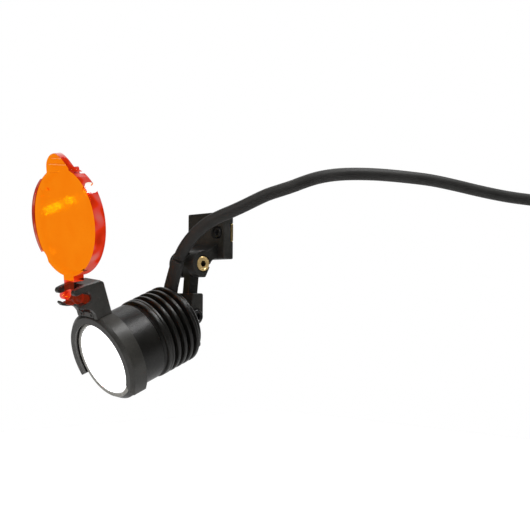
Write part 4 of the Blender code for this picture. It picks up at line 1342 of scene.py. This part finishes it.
@dataclass
class Bracket(SubAssembly):
    """The mounting plate with its lug and fixings, the link and the two pivots."""

    width: float = 15.0
    height: float = 12.0
    thick: float = 3.2
    hinge_ahead: float = 7.6
    hinge_drop: float = 7.3
    lug_nose: float = 3.4
    lug_fillet: float = 2.3
    slot_half: float = 2.27
    lug_half: float = 5.07
    fork_half: float = 3.82
    fork_reach: float = 4.2
    knuckle: float = 2.45
    link_length: float = 13.25
    fork_radius: float = 2.1
    fork_rise: float = 5.8
    arm_front: float = 1.1
    arm_rear: float = 1.6
    fixing_spread: float = 4.6
    fixing_rise: float = 0.8
    pocket_depth: float = 1.4
    pocket_end: float = 1.6
    pocket_shift: float = 0.6
    bush_hole: float = 1.05
    bush_sleeve: float = 1.6
    bush_flange: float = 3.5
    flange_depth: float = 0.8
    shim: float = 1.9
    shim_thick: float = 0.35

    def plate(self) -> None:
        """The plate, its lug with the slot and its screw pockets."""
        half = self.height / 2
        front = -self.thick
        piece = block("mounting_plate", (-self.width / 2, front, -half),
                      (self.width / 2, 0.0, half), HOME)
        rounded(piece, 0.35, 4)
        below = -half + 0.15
        fillet = self.lug_fillet
        outline = [(front + 0.8, -1.9), (front, -1.9), (front - 0.45, -2.35),
                   *arc((-self.hinge_ahead, -self.hinge_drop), self.lug_nose, 70.0, 282.0, 44),
                   *arc((front - 0.1, below - fillet), fillet, 180.0, 90.0, 12),
                   (front + 0.8, below)]
        lug = wedge("lug", outline, -self.lug_half, self.lug_half, HOME)
        fuse(piece, rounded(lug, 0.22))
        hinge = self.frames.hinge
        axis = hinge @ ALONG_X
        reach = self.knuckle + 0.35
        cut(piece,
            block("slot", (-self.slot_half, -10.0, -10.0), (self.slot_half, reach, reach), hinge),
            rod("bore", PIVOT_BORE, -10.0, 10.0, axis, 32),
            rod("head_recess", 2.15, self.lug_half - 1.85, self.lug_half + PAST, axis, 64),
            pressed("nut_recess", hexagon(4.5), -self.lug_half - PAST, 1.75 - self.lug_half, axis))
        for side in (-1, 1):
            at = shifted(side * self.fixing_spread, 0.0, self.fixing_rise)
            pocket = [*arc((self.pocket_shift, 0.0), self.pocket_end, -90.0, 90.0, 24),
                      *arc((-self.pocket_shift, 0.0), self.pocket_end, 90.0, 270.0, 24)]
            cut(piece, pressed("pocket", pocket, front - PAST, front + self.pocket_depth, at),
                rod("fixing_hole", self.bush_hole, -6.0, 3.0, at, 32),
                rod("bush_bore", self.bush_sleeve + CLEARANCE, -1.55, PAST, at, 48),
                rod("bush_seat", self.bush_flange + CLEARANCE, -1.05, PAST, at, 64))
        self.done(rounded(piece, *FINE_EDGE), MOULDED, "mount", "mount_block")

    def fixings(self) -> None:
        """The two plate screws and the flanged bushes."""
        under = self.pocket_depth - self.thick - CLEARANCE
        at = shifted(-self.fixing_spread, under, self.fixing_rise) @ turned("Z", 180.0)
        screw = CapScrew(1.3, 1.0, 0.8, abs(under) - 0.3, 0.12).build("plate_screw_left", at)
        twin = self.copy(screw, "plate_screw_right", shifted(2 * self.fixing_spread, 0.0, 0.0))
        self.done(screw, BLACK_STEEL, "mount", "mount_screw_left")
        self.done(twin, BLACK_STEEL, "mount", "mount_screw_right")
        hole, sleeve, flange = self.bush_hole, self.bush_sleeve, self.bush_flange
        profile = [(hole, -1.3), (sleeve, -1.3), (sleeve, -self.flange_depth),
                   (flange, -self.flange_depth), (flange, -0.05), (hole, -0.05)]
        for side, label in ((-1, "left"), (1, "right")):
            at = shifted(side * self.fixing_spread, 0.0, self.fixing_rise)
            bush = lathe("bush_" + label, profile, at, 96)
            near, far = sorted((side * (self.width / 2 - 0.05), side * self.width))
            cut(bush, block("bush_trim", (near, -self.thick, -self.height),
                            (far, self.thick, self.height), HOME))
            self.done(rounded(bush, *SOFT_EDGE), DULL_BRASS, "mount", "brass_insert_" + label)

    def link(self) -> None:
        """The arm between the two pivots, with its fork."""
        knee = self.fork_rise - self.link_length - PAST
        outline = [*arc((0.0, 0.0), self.knuckle, -35.0, 215.0, 40), (-self.arm_front, -3.6),
                   (-self.arm_front, knee), (self.arm_rear, knee), (self.arm_rear, -3.0)]
        piece = wedge("link_bar", outline, -TONGUE_HALF, TONGUE_HALF, self.frames.link)
        rounded(piece, 0.18)
        rise, wide = self.fork_rise, self.fork_radius
        shape = [*arc((0.0, 0.0), wide, 180.0, 360.0, 32), (wide, rise - 0.3),
                 (wide - 0.3, rise), (-self.arm_front, rise)]
        tilt = self.frames.tilt
        fork = rounded(wedge("fork", shape, -self.fork_half, self.fork_half, tilt), 0.22)
        axis = tilt @ ALONG_X
        reach = self.fork_reach
        cut(fork, block("fork_slot", (-self.slot_half, -reach, -reach),
                        (self.slot_half, reach, 2.55), tilt),
            rod("tilt_bore", PIVOT_BORE, -8.0, 8.0, axis, 32),
            rod("tilt_recess", 1.95, self.fork_half - 0.8, self.fork_half + PAST, axis, 64))
        cut(piece, rod("knuckle_bore", PIVOT_BORE, -3.0, 3.0, self.frames.hinge @ ALONG_X, 32))
        gather(piece, fork)
        self.done(rounded(piece, *FINE_EDGE), MOULDED, "link", "link_arm")

    def pivot(self, pivot: Pivot, axis: Matrix, nut_blank: Piece, shim_blank: Piece) -> None:
        """One pivot's screw, nut and washers.

        Args:
            pivot: its sizes and names.
            axis: its place, with its Y along the screw.
            nut_blank: the nut to copy.
            shim_blank: the washer to copy.
        """
        label, body = pivot.label, pivot.body
        shank = pivot.head_seat + pivot.nut_seat + 1.2
        screw = CapScrew(pivot.head, pivot.height, 1.0, shank, 0.12).build(
            label + "_pivot_screw", axis @ shifted(0.0, pivot.head_seat, 0.0))
        self.done(screw, pivot.metal, body, label + "_screw")
        back = axis @ shifted(0.0, -pivot.nut_seat, 0.0) @ turned("X", 180.0)
        self.done(self.copy(nut_blank, label + "_pivot_nut", back), BLACK_STEEL, body,
                  label + "_nut")
        start = TONGUE_HALF + CLEARANCE
        for side, along in (("near", start), ("far", -start - self.shim_thick)):
            shim = self.copy(shim_blank, label + "_shim_" + side, axis @ shifted(0.0, along, 0.0))
            self.done(shim, STEEL, body, label + "_washer_" + side)

    def build(self) -> None:
        """Make every piece of the bracket."""
        self.plate()
        self.fixings()
        self.link()
        nut_blank = nut("nut_blank", 4.0, 1.5, PIVOT_BORE, HOME)
        shim = [(PIVOT_BORE, 0.0), (self.shim, 0.0), (self.shim, self.shim_thick),
                (PIVOT_BORE, self.shim_thick)]
        shim_blank = rounded(lathe("shim_blank", shim, HOME, 64), *SOFT_EDGE)
        lug, fork = self.lug_half, self.fork_half
        self.pivot(Pivot("hinge", "mount", 1.9, 1.6, lug - 1.6, lug - 1.5, BRASS),
                   self.frames.hinge @ ALONG_X, nut_blank, shim_blank)
        self.pivot(Pivot("tilt", "link", 1.7, 1.2, fork - 0.55, fork + CLEARANCE, BLACK_STEEL),
                   self.frames.tilt @ ALONG_X, nut_blank, shim_blank)
        for blank in (nut_blank, shim_blank):
            bpy.data.objects.remove(blank)


# ---------------------------------------------------------------- lamp head

@dataclass
class LampHead(SubAssembly):
    """The turned lamp head: barrel, lens, finned body and rear cap."""

    lens: float = 8.55
    bezel_face: float = 9.4
    bezel: float = 10.8
    bezel_back: float = 2.7
    barrel_radius: float = 9.74
    bore: float = 9.15
    lip_depth: float = 0.75
    barrel_back: float = 11.0
    neck: float = 9.3
    neck_length: float = 0.9
    land: float = 10.0
    land_length: float = 2.0
    fins: int = 3
    pitch: float = 2.0
    fin: float = 0.95
    fin_edge: float = 0.18
    root: float = 8.4
    root_fillet: float = 0.25
    recess: float = 5.6
    recess_depth: float = 5.2
    lead_bore: float = 1.5
    cap_radius: float = 8.6
    cap_thick: float = 1.7
    spigot: float = 5.35
    spigot_bore: float = 4.4
    tongue: float = 2.2
    tongue_rise: float = 3.4
    wire_bore: float = 1.2
    screw_circle: float = 7.0
    screw_bore: float = 1.0
    screw_angles: tuple[float, ...] = (140.0, 220.0, 300.0)
    facets: int = 144

    def barrel(self) -> None:
        """The smooth front barrel with its bezel."""
        opening = self.lens + CLEARANCE
        radius, back = self.barrel_radius, self.barrel_back
        profile = [(opening, self.lip_depth), (opening, 0.2), (opening + 0.2, 0.0),
                   (self.bezel_face, 0.0), (self.bezel_face + 0.35, 0.3), (self.bezel, 1.7),
                   (self.bezel, self.bezel_back), (radius, self.bezel_back), (radius, back - 0.2),
                   (radius - 0.2, back), (self.bore, back), (self.bore, self.lip_depth)]
        piece = lathe("barrel", profile, self.frames.lamp, self.facets)
        self.done(rounded(piece, *TURNED_EDGE), ANODISED, "head", "front_barrel")
        # The bezel's front faces get the paler anodised copy as painted light.
        piece.data.materials.append(BEZEL_PAINTED_LIGHT.material())
        inwards = self.frames.lamp.inverted()
        for face in piece.data.polygons:
            if (inwards @ face.center).y < 0.45 * MM:
                face.material_index = 1

    def window(self) -> None:
        """The domed lens."""
        rim = self.bore - CLEARANCE
        dome = [(self.lens * i / 12, 0.15 - 0.3 * math.cos(math.radians(90.0 * i / 12)))
                for i in range(13)]
        profile = [*dome, (self.lens, 1.0), (rim, 1.0), (rim, 1.55), (0.0, 1.55)]
        piece = lathe("lens", profile, self.frames.lamp, self.facets)
        self.done(rounded(piece, 0.04, 2), LIT_LENS, "head", "front_lens")

    def flange_front(self) -> float:
        """Where the last and thickest fin starts."""
        land = self.barrel_back + CLEARANCE + self.neck_length
        return land + self.land_length + self.fins * self.pitch + self.pitch - self.fin

    def heat_sink(self) -> None:
        """The finned body, with fillets in its grooves and thin bright edges on its fins."""
        cup = self.bore - CLEARANCE
        step = self.barrel_back + CLEARANCE
        start = step + self.neck_length
        back = start + self.land_length
        land, edge = self.land, self.fin_edge
        root, fillet = self.root, self.root_fillet
        profile = [(cup - 1.0, 7.0), (cup, 7.0), (cup, step), (self.neck, step), (self.neck, start),
                   (land - 0.2, start), (land, start + 0.2), (land, start + 1.0),
                   (land - 0.12, start + 1.12), (land, start + 1.24), (land, back - edge),
                   (land - edge, back), (root + fillet, back), (root, back + 0.2)]
        for index in range(self.fins + 1):
            front = back + self.pitch - self.fin + index * self.pitch
            rear = front + self.fin
            profile += [(root, front - 0.2), (root + fillet, front), (land - edge, front),
                        (land, front + edge), (land, rear - edge), (land - edge, rear)]
            if index < self.fins:
                profile += [(root + fillet, rear), (root, rear + 0.2)]
        end = self.flange_front() + self.fin
        floor = end - self.recess_depth
        inside = self.barrel_back - 0.3
        profile += [(self.recess, end), (self.recess, floor), (self.lead_bore, floor),
                    (self.lead_bore, inside), (cup - 1.0, inside)]
        piece = lathe("finned_body", profile, self.frames.lamp, self.facets)
        rounded(piece, *TURNED_EDGE)
        self.drill(piece, end - 3.0, end + PAST)
        self.done(piece, ANODISED, "head", "heat_sink", angle=50.0)

    def screw_frame(self, angle: float) -> Matrix:
        """The lamp's frame moved to one cap screw."""
        turn = math.radians(angle)
        return self.frames.lamp @ shifted(self.screw_circle * math.cos(turn), 0.0,
                                          self.screw_circle * math.sin(turn))

    def drill(self, piece: Piece, low: float, high: float) -> None:
        """Bore the three screws' holes, from low to high along the lamp's axis."""
        for angle in self.screw_angles:
            cut(piece, rod("hole", self.screw_bore, low, high, self.screw_frame(angle), 24))

    def cap(self) -> None:
        """The rear cap with the hinge tongue and the cable outlet, and its three screws."""
        lamp = self.frames.lamp
        front = self.flange_front() + self.fin + CLEARANCE
        back = front + self.cap_thick
        radius, bore, spigot = self.cap_radius, self.spigot_bore, self.spigot
        profile = [(0.0, front + 0.6), (bore, front + 0.6), (bore, front - 1.8),
                   (spigot, front - 1.8), (spigot, front), (radius, front), (radius, back - 0.4),
                   (radius - 0.4, back), (0.0, back)]
        piece = rounded(lathe("back_cap", profile, lamp, 120), *TURNED_EDGE)
        base, rise, height = outlet_line()
        turn = Vector((0.0, 1.0, 0.0)).rotation_difference(rise)
        outlet = Matrix.Translation(base * MM) @ turn.to_matrix().to_4x4()
        boss = rod("outlet", 2.5, -0.4, height, outlet, 64)
        cut(boss, block("outlet_shear", (-20.0, -9.0, -9.0), (20.0, front, 26.0), lamp))
        around = [(y + self.frames.PIVOT_BACK, z)
                  for y, z in arc((0.0, 0.0), self.tongue, -90.0, 90.0, 28)]
        side = [(back - 0.5, -self.tongue_rise), (back, -self.tongue_rise), *around,
                (back, self.tongue_rise), (back - 0.5, self.tongue_rise)]
        tongue = wedge("tongue", side, -TONGUE_HALF, TONGUE_HALF, lamp)
        cut(rounded(boss, 0.15),
            rod("relief_bore", 2.15, height - 2.45, height + PAST, outlet, 48),
            rod("wire_bore", self.wire_bore, -3.5, height, outlet, 24))
        cut(rounded(tongue, 0.12),
            rod("tongue_bore", PIVOT_BORE, -3.0, 3.0, self.frames.tilt @ ALONG_X, 32))
        cut(piece, rod("cap_wire_bore", self.wire_bore, -3.5, height, outlet, 24))
        self.drill(piece, front - 2.0, back + PAST)
        gather(piece, boss, tongue)
        self.done(piece, ANODISED, "head", "rear_cap", angle=40.0)
        self.cap_screws(back + CLEARANCE)

    def cap_screws(self, seat_at: float) -> None:
        """The rear cap's three screws.

        Args:
            seat_at: where their heads start along the lamp's axis.
        """
        first = self.screw_frame(self.screw_angles[0])
        screw = CapScrew(1.35, 0.8, 0.75, 4.2, 0.1).build("cap_screw_1",
                                                          first @ shifted(0.0, seat_at, 0.0))
        for index, angle in enumerate(self.screw_angles[1:], 2):
            move = self.screw_frame(angle) @ first.inverted()
            twin = self.copy(screw, "cap_screw_%d" % index, move)
            self.done(twin, BLACK_STEEL, "head", "rear_cap_screw_%d" % index)
        self.done(screw, BLACK_STEEL, "head", "rear_cap_screw_1")

    def build(self) -> None:
        """Make every piece of the head."""
        self.barrel()
        self.window()
        self.heat_sink()
        self.cap()


# ---------------------------------------------------------------- filter and its holder

@dataclass
class FilterHolder(SubAssembly):
    """The push-on ring with its two-cheeked bracket."""

    ring: float = 12.05
    bore: float = 11.05
    lip: float = 9.6
    hook: float = 10.0
    front: float = -0.95
    back: float = 3.5
    start: float = -50.0
    end: float = 208.0
    trim: float = -38.5
    trim_turn: float = 109.0
    cheek_half: float = 2.65
    cheek_wall: float = 1.4
    cheek_back: float = 3.35
    cheek_top: float = 19.75
    cheek_tip: float = -5.05
    slot_half: float = 1.25
    inlay: float = 0.5
    base_top: float = 14.9
    window_up: float = 13.9
    window_half: float = 1.6
    sill_half: float = 1.35
    sill_lean: float = 38.0
    boss: float = 0.78
    boss_bore: float = 0.3
    boss_spread: float = 2.0
    boss_up: float = 12.35

    def shell(self) -> Piece:
        """The open ring, hooked behind the bezel.

        Returns:
            The new piece.
        """
        lip = self.front + 0.7
        hook = self.back - 0.55
        profile = [(self.lip, self.front), (self.ring - 0.85, self.front),
                   (self.ring, self.front + 0.85), (self.ring, self.back), (self.hook, self.back),
                   (self.hook, hook), (self.bore, hook), (self.bore, lip), (self.lip, lip)]
        start = self.frames.holder @ turned("Y", -self.start)
        piece = lathe("holder_ring", profile, start, 132, self.end - self.start)
        turn = math.radians(self.trim)
        edge = shifted(self.ring * math.cos(turn), 0.0, self.ring * math.sin(turn))
        cut(piece, block("ring_end", (-9.0, self.front - PAST, 0.0), (9.0, self.back + PAST, 9.0),
                         self.frames.holder @ edge @ turned("Y", -self.trim_turn)))
        return rounded(piece, 0.18, 3, 25.0)

    def cheek_outline(self) -> Flat:
        """Side of one cheek with its open slot, as (y, z).

        Returns:
            Its corners.
        """
        pin, up = -self.frames.TRUNNION_AHEAD, self.frames.TRUNNION_UP
        half, top, tip = self.slot_half, self.cheek_top, self.cheek_tip
        root = self.bore + 0.35
        corner = (self.cheek_back - 0.9, top - 0.9)
        return [(self.cheek_back, root), *arc(corner, 0.9, 0.0, 90.0, 10),
                (-1.3, top + 0.45), (-3.4, top + 0.5),
                *arc((tip + 0.75, top - 0.3), 0.75, 100.0, 225.0, 12),
                (pin - 1.4, up + half), *arc((pin + 0.67, up), half, 90.0, -90.0, 24),
                (pin - 1.6, up - half), (tip + 0.1, up - 0.45), (tip - 0.3, up - 0.75),
                (tip + 0.2, up - 1.7), (-3.7, 15.2), (-2.2, self.base_top - 0.2), (-1.4, 13.9),
                (self.front, 12.8), (self.front, root)]

    def foot_bosses(self) -> list[Piece]:
        """The two small hollow bosses on the ring's face.

        Returns:
            The new pieces, the left one first.
        """
        low, rear = self.front - 0.12, self.front + 1.0
        bore = self.boss_bore
        profile = [(bore, low + 0.35), (bore, low), (self.boss - 0.16, low),
                   (self.boss, low + 0.14), (self.boss, rear), (bore, rear)]
        frames = [self.frames.holder @ shifted(side * self.boss_spread, 0.0, self.boss_up)
                  for side in (-1, 1)]
        return [rounded(lathe("foot_boss", profile, at, 32), *FINE_EDGE) for at in frames]

    def build(self) -> None:
        """Make the holder in one piece."""
        holder = self.frames.holder
        piece = self.shell()
        inner = self.cheek_half
        outer = inner + self.cheek_wall
        cheeks = []
        for side in (1, -1):
            low, high = sorted((side * inner, side * outer))
            cheek = wedge("cheek", self.cheek_outline(), low, high, holder)
            cheeks.append(rounded(cheek, 0.2, 3, 22.0))
        half, rear = inner + self.inlay, self.cheek_back - 0.15
        web = rounded(block("web", (-half, -0.3, self.cheek_top - 1.4),
                            (half, rear, self.cheek_top - 0.1), holder), 0.1)
        base = block("base", (-half, self.front + 0.1, self.bore + 0.45),
                     (half, rear, self.base_top - 0.6), holder)
        rounded(base, 0.25)
        window = block("window", (-self.window_half, self.front - PAST, self.window_up - 1.05),
                       (self.window_half, self.front + 1.5, self.window_up + 0.55), holder)
        cut(base, rounded(window, 0.25))
        at = holder @ shifted(0.0, self.front + 0.55, self.window_up - 0.9)
        sill = block("sill", (-self.sill_half, 0.0, -0.3), (self.sill_half, 0.35, 1.25),
                     at @ turned("X", -self.sill_lean))
        rounded(sill, 0.08)
        bosses = self.foot_bosses()
        pip = lathe("pip", [(0.0, -0.07), (0.12, -0.055), (0.2, 0.0), (0.2, 0.1), (0.0, 0.1)],
                    holder @ shifted(outer, 1.15, 16.2) @ turned("Z", 90.0), 20)
        gather(piece, *cheeks, web, base, sill, *bosses, pip)
        piece.name = "filter_holder_ring"
        self.done(piece, HOLDER, "filter_holder", "filter_clip", angle=30.0)


@dataclass
class FilterCup(SubAssembly):
    """The orange filter with its tab, lip, leg and trunnion."""

    radius: float = 12.5
    face: float = -1.41
    thick: float = 1.2
    depth: float = 2.95
    wall: float = 0.9
    tab_half: float = 4.85
    tab_shift: float = -0.68
    shoulder: float = 12.4
    tab_rise: float = 3.3
    tab_peak: float = 1.0
    tab_trim: float = 0.5
    tab_slant: float = 1.5
    tab_depth: float = 1.7
    rib: float = 0.15
    slit: float = 0.4
    slit_drop: float = 1.1
    lip: float = 12.95
    lip_rise: float = 1.45
    lip_angle: float = 173.0
    lip_spread: float = 47.0
    lip_root: float = 44.0
    notch: float = 1.5
    notch_angle: float = 41.0
    scallop: float = 3.6
    scallop_angle: float = -137.0
    hub: float = 1.5
    pin: float = 1.0
    pin_half: float = 4.7

    def outline(self, inset: float) -> Flat:
        """Outline of the disc and its tab together, as (x, z) from the disc's centre.

        Args:
            inset: how far it lies inside the filter's own edge.

        Returns:
            Its corners.
        """
        radius = self.radius - inset
        half = self.tab_half - inset
        rise = self.tab_rise - inset
        peak = self.tab_shift - self.tab_peak
        reach = half + self.tab_peak - self.tab_trim
        right = math.degrees(math.acos((peak + reach) / radius))
        left = math.degrees(math.acos((self.tab_shift - half) / radius))
        shares = [1.0 - i / 12 for i in range(12)]
        slant = [(peak + reach * part, self.shoulder + rise * (1.0 - part ** self.tab_slant))
                 for part in shares]
        curve = [(peak + (half - self.tab_peak) * x, self.shoulder + rise * z)
                 for x, z in arc((0.0, 0.0), 1.0, 90.0, 180.0, 14)]
        return [*arc((0.0, 0.0), radius, left, right + 360.0, 130), *slant, *curve]

    def crescent(self) -> Flat:
        """Outline of the lip at the disc's left, thickest in its middle and lost at its ends.

        Returns:
            Its corners.
        """
        turn = math.radians(self.lip_angle)
        reach = self.lip_rise
        middle = (reach * math.cos(turn), reach * math.sin(turn))
        return [*arc(middle, self.lip - reach, self.lip_angle - self.lip_spread,
                     self.lip_angle + self.lip_spread, 60),
                *arc((0.0, 0.0), self.radius + 0.02, self.lip_angle + self.lip_root,
                     self.lip_angle - self.lip_root, 40)]

    def notches(self, disc: Matrix) -> list[Piece]:
        """Tools for the skirt's notches and slits, the tab's edge and the disc's scallop.

        Args:
            disc: the disc's frame.

        Returns:
            The shapes to cut out.
        """
        back = self.face + self.depth
        above = self.shoulder + 0.2
        wide = 2 * self.tab_half
        tools = [block("tab_edge", (-wide, self.face + self.tab_depth, above),
                       (wide, back + PAST, above + 7.0), disc)]
        for side in (-1, 1):
            low, high = sorted((side * self.tab_half * 0.75, side * self.tab_half * 1.5))
            tools.append(block("tab_slit", (low, self.face + self.depth / 2,
                                            above - self.slit_drop - self.slit),
                               (high, back + PAST, above - self.slit_drop), disc))
        for angle in (self.notch_angle, 180.0 - self.notch_angle):
            at = disc @ turned("Y", -angle) @ shifted(0.0, self.face + 1.85, 0.0) @ ALONG_X
            tools.append(rod("skirt_notch", self.notch, self.radius - 1.3, self.radius + 3.0, at))
        reach = self.radius + self.scallop - 0.7
        at = disc @ turned("Y", -self.scallop_angle) @ shifted(reach, 0.0, 0.0)
        tools.append(rod("rim_scallop", self.scallop, self.face - 2.0, back + PAST, at))
        return tools

    def build(self) -> None:
        """Make the filter in one piece, and the lip on its left edge."""
        frame = self.frames.filter
        up = self.frames.TRUNNION_UP
        disc = frame @ shifted(0.0, 0.0, up)
        face = self.face
        back = face + self.depth
        cup = rounded(pressed("filter_disc", self.outline(0.0), face, back, disc), 0.12, 2, 50.0)
        cut(cup, pressed("hollow", self.outline(self.wall), face + self.thick, back + PAST, disc))
        for rise, half in ((0.85, 3.7), (2.25, 2.4)):
            middle = self.tab_shift + 0.1 * rise
            at = disc @ shifted(middle, face, self.shoulder + rise) @ ALONG_X
            fuse(cup, rod("tab_rib", self.rib, -half, half, at, 16))
        cut(cup, *self.notches(disc))
        neck_top = up - self.radius + 0.8
        neck = block("neck", (-1.2, face + 0.05, 3.9), (2.4, face + 2.8, neck_top), frame)
        leg = block("leg", (-1.85, face + 0.02, -1.8), (0.45, face + 1.3, neck_top - 0.3), frame)
        rounded(leg, 0.2)
        axis = frame @ ALONG_X
        fuse(cup, neck, leg, rod("hub", self.hub, -1.55, 1.65, axis),
             rod("trunnion", self.pin, -self.pin_half, self.pin_half, axis))
        cup.name = "orange_filter_cup"
        orange = ClearOrange("filter_orange", "orange_filter", disc)
        self.done(cup, orange, "filter", "filter_cup", angle=34.0)
        lip = pressed("filter_lip", self.crescent(), face - 0.32, face + 0.35, disc)
        red = ClearOrange("filter_lip_red", "orange_filter", disc, (0.05, 0.0006, 0.0004),
                          (0.16, 0.002, 0.0008), (0.2, 0.002, 0.001), (0.3, 0.03, 0.02),
                          facing=-1.0)
        self.done(rounded(lip, 0.1, 2), red, "filter")


# ---------------------------------------------------------------- cable's end

@dataclass
class CableEnd(SubAssembly):
    """The plug at the cable's end and the strap round its coil."""

    place: Point = (49.4, 123.4, -31.5)
    grip: float = 4.1
    groove: float = 3.8
    rib: float = 2.25
    valley: float = 1.95
    seat: float = 15.75
    coil_middle: float = 17.8
    strap_turn: float = 45.0
    strap_half: float = 3.0
    pieces: list[Piece] = field(default_factory=list)

    def plug(self) -> None:
        """Ribbed grip, sleeve, liner and inner contact."""
        frame = shifted(*self.place) @ turned("X", -90.0)
        profile = [(0.0, 0.0), (1.9, 0.0)]
        for index in range(4):
            profile += [(self.rib, 0.5 + index), (self.rib, 0.9 + index),
                        (self.valley, 1.0 + index), (self.valley, 1.3 + index)]
        profile += [(2.3, 4.6), (3.5, 5.0), (self.grip, 6.5)]
        for index in range(5):
            base = 8.2 + 1.4 * index
            profile += [(self.grip, base), (self.groove, base + 0.25),
                        (self.groove, base + 0.65), (self.grip, base + 0.9)]
        profile += [(self.grip, 16.9), (3.5, 17.5), (3.0, 17.5), (3.0, 15.5), (0.0, 15.5)]
        grip = rounded(lathe("plug_grip", profile, frame, 48), 0.08, 2, 25.0)
        self.pieces.append(self.done(grip, RUBBER, "mount", "plug_body"))
        tubes = (
            ("plug_barrel", "plug_sleeve", STEEL, 64, (2.2, 2.75, 26.7, 2.5, 27.0, 2.35, 26.85)),
            ("plug_insulator", "plug_liner", RUBBER, 48,
             (1.55, 1.95, 26.55, 1.85, 26.7, 1.65, 26.6)),
            ("plug_pin_socket", "plug_contact", BRASS, 40,
             (1.05, 1.3, 26.25, 1.2, 26.4, 1.12, 26.3)),
        )
        for name, replaced, finish, steps, (hole, outer, edge, rim, end, mouth, inside) in tubes:
            outline = [(hole, self.seat), (outer, self.seat), (outer, edge), (rim, end),
                       (mouth, end), (hole, inside)]
            tube = lathe(name, outline, frame, steps)
            self.pieces.append(self.done(tube, finish, "mount", replaced))

    @staticmethod
    def loop(half_y: float, half_z: float, corner: float) -> Flat:
        """Outline of a rectangle with round corners, as (y, z).

        Args:
            half_y: half its size along Y.
            half_z: half its size along Z.
            corner: radius of its corners.

        Returns:
            Its corners.
        """
        points = []
        for y, z, start in ((1, 1, 0.0), (-1, 1, 90.0), (-1, -1, 180.0), (1, -1, 270.0)):
            middle = (y * (half_y - corner), z * (half_z - corner))
            points += arc(middle, corner, start, start + 90.0, 8)
        return points

    def strap(self) -> None:
        """The hook-and-loop strap, with its end lapped over and its stitches."""
        at = (shifted(*COIL_CENTRE) @ turned("X", self.strap_turn)
              @ shifted(0.0, self.coil_middle, 0.0) @ turned("Y", 90.0))
        half = self.strap_half
        band = wedge("coil_strap", self.loop(6.15, 7.5, 2.2), -half, half, at)
        cut(band, wedge("strap_room", self.loop(5.4, 6.75, 1.5), -half - PAST, half + PAST, at))
        outline = [(6.1, -4.6), (6.4, -4.4), (6.4, 4.2), (6.1, 4.6)]
        lap = wedge("strap_lap", outline, -half + 0.1, half - 0.1, at)
        stitches = []
        for side in (-1, 1):
            for index in range(9):
                spot = at @ shifted(side * (half - 0.6), 6.4, -3.6 + 0.9 * index)
                stitches.append(block("stitch", (-0.07, -0.1, -0.28), (0.07, 0.06, 0.28), spot))
        gather(band, rounded(lap, 0.1, 2), *stitches)
        self.pieces.append(self.done(rounded(band, 0.06, 2, 60.0), STRAP, "mount", "cord_tie"))

    def build(self) -> list[Piece]:
        """Make the plug and the strap.

        Returns:
            Their pieces.
        """
        self.plug()
        self.strap()
        return self.pieces


# ---------------------------------------------------------------- solids that stay

class Solids:
    """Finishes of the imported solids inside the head, which need no finer piece."""

    FINISHES = {
        "lens_gasket": RUBBER, "reflector": SILVER, "led_package": PHOSPHOR,
        "led_board": MASK_WHITE, "thermal_pad": PAD, "led_lead_red": WIRE_RED,
        "led_lead_black": WIRE_BLACK,
    }

    def __init__(self, nodes: dict[str, Piece]) -> None:
        """Args: nodes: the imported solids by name."""
        self.nodes = nodes

    def build(self) -> None:
        """Dress each solid."""
        for name, finish in self.FINISHES.items():
            node = self.nodes[name]
            if not node.material_slots:
                node.data.materials.append(finish.material())
            for slot in node.material_slots:
                slot.material = finish.material()
            log.info("%s dressed", name)


def main() -> None:
    """Build the dressed headlight."""
    logging.basicConfig(level=logging.INFO)
    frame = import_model()
    frames = Frames(frame["joints"])
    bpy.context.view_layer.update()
    bpy.ops.object.select_all(action="DESELECT")
    Studio().build()
    Cable().build(CableEnd(frames).build())
    for part in (Bracket, LampHead, FilterHolder, FilterCup):
        part(frames).build()
        log.info("%s ready", part.__name__)
    Solids(frame["nodes"]).build()


if __name__ == "__main__":
    main()
